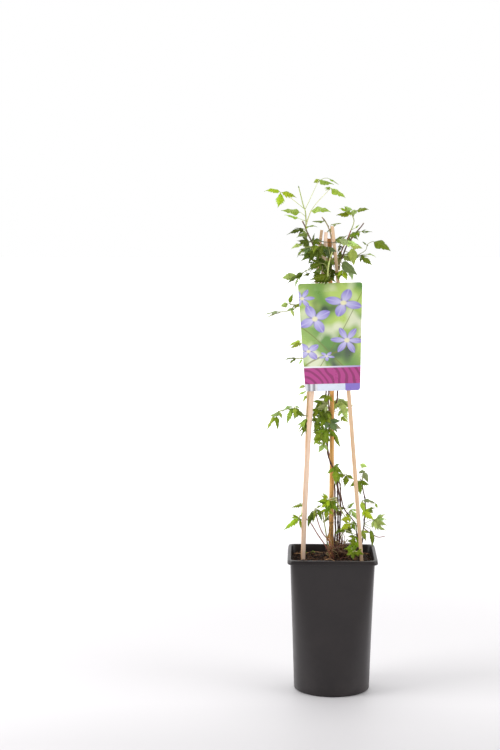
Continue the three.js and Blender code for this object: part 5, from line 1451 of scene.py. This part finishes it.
dress_shoot("crown_right", 12, [
    ("bark", 1.3, 0.9, [(7.8, 3.6, 655), (10, 2, 667), (22, -2, 694), (46, -6, 727)]),
    ("wine", 1.1, 0.9, [(8.6, 3.4, 660), (10, 5, 675), (13.8, 6, 687), (21, 8, 701), (27, 9, 716)]),
    ("shoot", 0.8, 0.7, [(26.6, 9, 715), (30, 9, 723), (31.5, 9, 731), (27, 7, 742)]),
], [
    ("mid", [(30.2, 8.8, 737), (35, 7, 745.5)], (54, 0, 747.5), 40, 0, 46),
    ("pale", [(29.4, 8.6, 738.6), (36, 9, 746.5)], (25, 4, 737), 60, 0, 46),
    ("mid", [(27.6, 7.4, 741.4), (25, 5, 742.5)], (4, 0, 738.5), 30, 0, 50),
    ("bright", [(27.4, 7, 741.6), (20, 2, 745)], (8, -2, 748.5), 68, 0.6, 56),
    ("pale", [(27.2, 7.2, 742), (28.5, 9, 747.5)], (16, 8, 752), 62, 0, 56),
    ("mid", [(29, 8.4, 739.4), (28, 0, 742)], (18, -4, 743.5), 56, 0, 56),
    ("fresh", [(27, 9, 716), (33, 4, 719)], (40, 2, 724), 40, 0, 40),
    ("pale", [(9.6, 3, 664), (7, 3, 685), (12.5, 1, 698)], (41.5, -10, 689), 42, 0.35, 42),
    ("grey", [(10.4, 2.6, 668), (9, 5, 688), (11, 6, 699.5)], (22, 2, 708), 50, 0.4, 44),
    ("mid", [(34, -4, 711), (42.5, -7, 714)], (59, -11, 713.5), 36, 0.5, 34),
    ("grass", [(35, -4.4, 712), (40.5, -10, 714)], (23, -15, 705), 60, 0.35, 32),
    ("grass", [(33.4, -3.8, 710), (38, -13, 713)], (37.5, -15, 704.5), 10, 0, 44),
    ("mid", [(17, -0.6, 684), (28, 3, 680), (41, 1, 675)], (60, -6, 661), 58, 0.4, 50),
    ("mid", [(28, 3, 680), (41, 4, 676.5)], (54, -1, 676), 50, 0.4, 30),
    ("teal", [(30, 2.7, 679.3), (38.5, -3, 675)], (30, -7, 673), 50, 0, 32),
    ("pale", [(36, 1.9, 677.1), (50, 6, 679)], (65.5, 2, 674), 50, 0, 14),
    ("mid", [(36.4, 1.8, 677), (49.5, 2, 685.5), (52.5, 0, 694.5), (60.5, -3, 699)],
     (87, -9, 684), 58, 0, 50),
    ("mid", [(52, 0.5, 692.5), (50, -5, 694)], (43.5, -8, 698.5), 40, 0, 40),
    ("mellow", [(26, -2.6, 700), (27, -8, 689)], (31, -15, 662), 30, 0, 46),
    ("teal", [(9.4, 2.6, 664), (11, -7, 672), (12.5, -12, 668)], (36.5, -20, 647.5), 60, 0, 50),
    ("grey", [(10.4, -3.4, 669), (15, -7, 662), (25, -12, 655.5)], (27.5, -14, 638), 48, 0, 40),
    ("dried", [(13.6, 6, 686), (12, 8, 692)], (7, 6, 681), 20, 0.6, 58),
    ("bright", [(8.6, 3.2, 661), (10, -8, 664), (15, -13, 656)], (20.5, -19, 638.5), 40),
    ("grass", [(8.6, 3.2, 661), (10, -9, 662), (9, -13, 652)], (8, -17, 638), 14, 0.8, 52),
    ("deep", [(9, 3, 663), (10.5, -2, 684)], (10, -3, 667), 10, 0.5, 28),
    ("mid", [(13, 1, 674), (16, 14, 678)], (29, 27, 666), -40),
    ("mid", [(21, 8, 701), (24, 18, 708)], (39, 28, 700), -40),
    ("grey", [(22, -2, 694), (23.5, -8, 695)], (7, -10, 702.5), 50, 0, 48),
    ("mellow", [(22, -2, 694), (26, -8, 695.5)], (44, -12, 688), 50, 0, 52),
])
dress_shoot("crown_back", 13, [
    ("tan", 1.2, 0.8, [
        (-5.8, 9.4, 676), (-4, 10, 690), (-3, 9.4, 700), (-4.3, 8, 711), (-8, 7, 722),
        (-18, 6, 736),
    ]),
], [
    ("mid", [(-8, 7, 722), (-14, 5, 730)], (-33, 2, 729), 12, 0, 58),
    ("grey", [(-4.6, 8, 713), (-4, 7, 724)], (12, 4, 726), 16, 0, 58),
    ("mid", [(-5, 9.8, 684), (-12, 20, 692)], (-26, 32, 682), -40),
    ("mid", [(-3.8, 10, 693), (4, 20, 702)], (15, 33, 693), -40),
    ("mid", [(-4, 8.4, 708), (-4, 18, 718)], (-2, 33, 716), -40),
    ("mid", [(-5.4, 9.6, 680), (4, 20, 676)], (10, 32, 660), -40),
    ("mid", [(-5.2, 9.6, 684), (-15, 18, 676)], (-26, 30, 660), -40),
])

# ---- Dead growth at the foot ---------------------------------------------------------------------
# Last year's cut and dried shoots stand round the foot of the stems, brown and straw-coloured, with
# a dry papery sheath against the cane.
DEAD_TWIGS = 90
FOOT_X, FOOT_Y = 12, -1  # the middle of the clump
FOOT_LEVEL = 202
TWIG_LEVEL = 204  # that the twigs' heights are counted from

bm = bmesh.new()
tint = bm.verts.layers.float_color.new("tint")
grain = bm.loops.layers.uv.new("grain")
draw = random.Random(5)
for k in range(DEAD_TWIGS):
    angle = draw.uniform(0, 2 * math.pi)
    near, far = draw.uniform(1, 9), draw.uniform(4, 24)
    tall = draw.uniform(6, 40) * (1.3 - far / 34)
    side = angle + draw.uniform(-1.2, 1.2)
    back = side + draw.uniform(-1.6, 1.6)
    points = [
        (FOOT_X + math.cos(turn) * reach * wide, FOOT_Y + math.sin(turn) * reach * deep, height)
        for turn, reach, wide, deep, height in (
            (angle, near, 1, 0.8, FOOT_LEVEL),
            (side, far, 0.6, 0.5, TWIG_LEVEL + tall * 0.4),
            (side, far, 1, 0.8, TWIG_LEVEL + tall * 0.75),
            (back, far, 1.1, 0.8, TWIG_LEVEL + tall),
        )
    ]
    tone = draw.choice(("bark", "bark", "wine", "wine", "tan"))
    grow_stem(
        bm, tint, grain, draw, tone, smooth_route(points, 12),
        (draw.uniform(0.45, 0.9), draw.uniform(0.2, 0.45)), sides=6, pale_end=True,
    )

# Dry leaf sheaths and a peel of pale bark: limp ribbons that taper to both ends and cup inwards.
RIBBONS = [  # route, width, turn, colour
    ([(-1.6, -4.6, 266), (-3, -5.2, 256), (-3.4, -5.4, 247), (-5.8, -6.6, 238)],
     4.4, -0.2, (196, 152, 84)),
    ([(-4, -3.8, 248), (-5.6, -4.6, 243), (-7.4, -5.4, 238), (-8.2, -5.6, 233)],
     2.8, -0.5, (206, 176, 96)),
    ([(-2, -5, 262), (0.6, -5.6, 254), (-1, -6, 246), (1.4, -6.2, 240)], 3.4, 0.4, (170, 128, 76)),
    ([(5, -14, 303), (10, -14.4, 291), (16, -12, 280), (21, -9, 272)], 3, 0.2, (222, 220, 160)),
    ([(16, -9, 248), (20, -10, 240), (19, -12, 232), (24, -12, 226)], 2.6, 1.0, (150, 124, 88)),
    ([(8, -10, 224), (13, -14, 219), (20, -15, 217), (28, -17, 213)], 3, 0.3, (134, 104, 78)),
]
for points, wide, turn, colour in RIBBONS:
    def cupped(t):
        across = wide / 2 * math.sin(math.pi * mix(0.06, 0.92, t)) ** 0.7
        bow = 0.3 * across
        angle = turn + 0.8 * t
        outline = [
            (-across, bow), (-across * 0.5, bow * 0.25), (0, 0), (across * 0.5, bow * 0.25),
            (across, bow), (across * 0.94, bow + 0.3), (0, 0.35), (-across * 0.94, bow + 0.3),
        ]
        c, s = math.cos(angle), math.sin(angle)
        return [(x * c - y * s, x * s + y * c) for x, y in outline]

    rows = grow_rod(bm, smooth_route(points, 16), cupped, grain)
    for row in rows:
        for corner in row:
            light = mix(0.8, 1.15, noise.noise(corner.co * 500) + 0.5)
            corner[tint] = paint(*(min(250, v * light) for v in colour))
shade(bm, 1.0)
add_piece(bm, "dead_growth", stem_bark, "clematis")
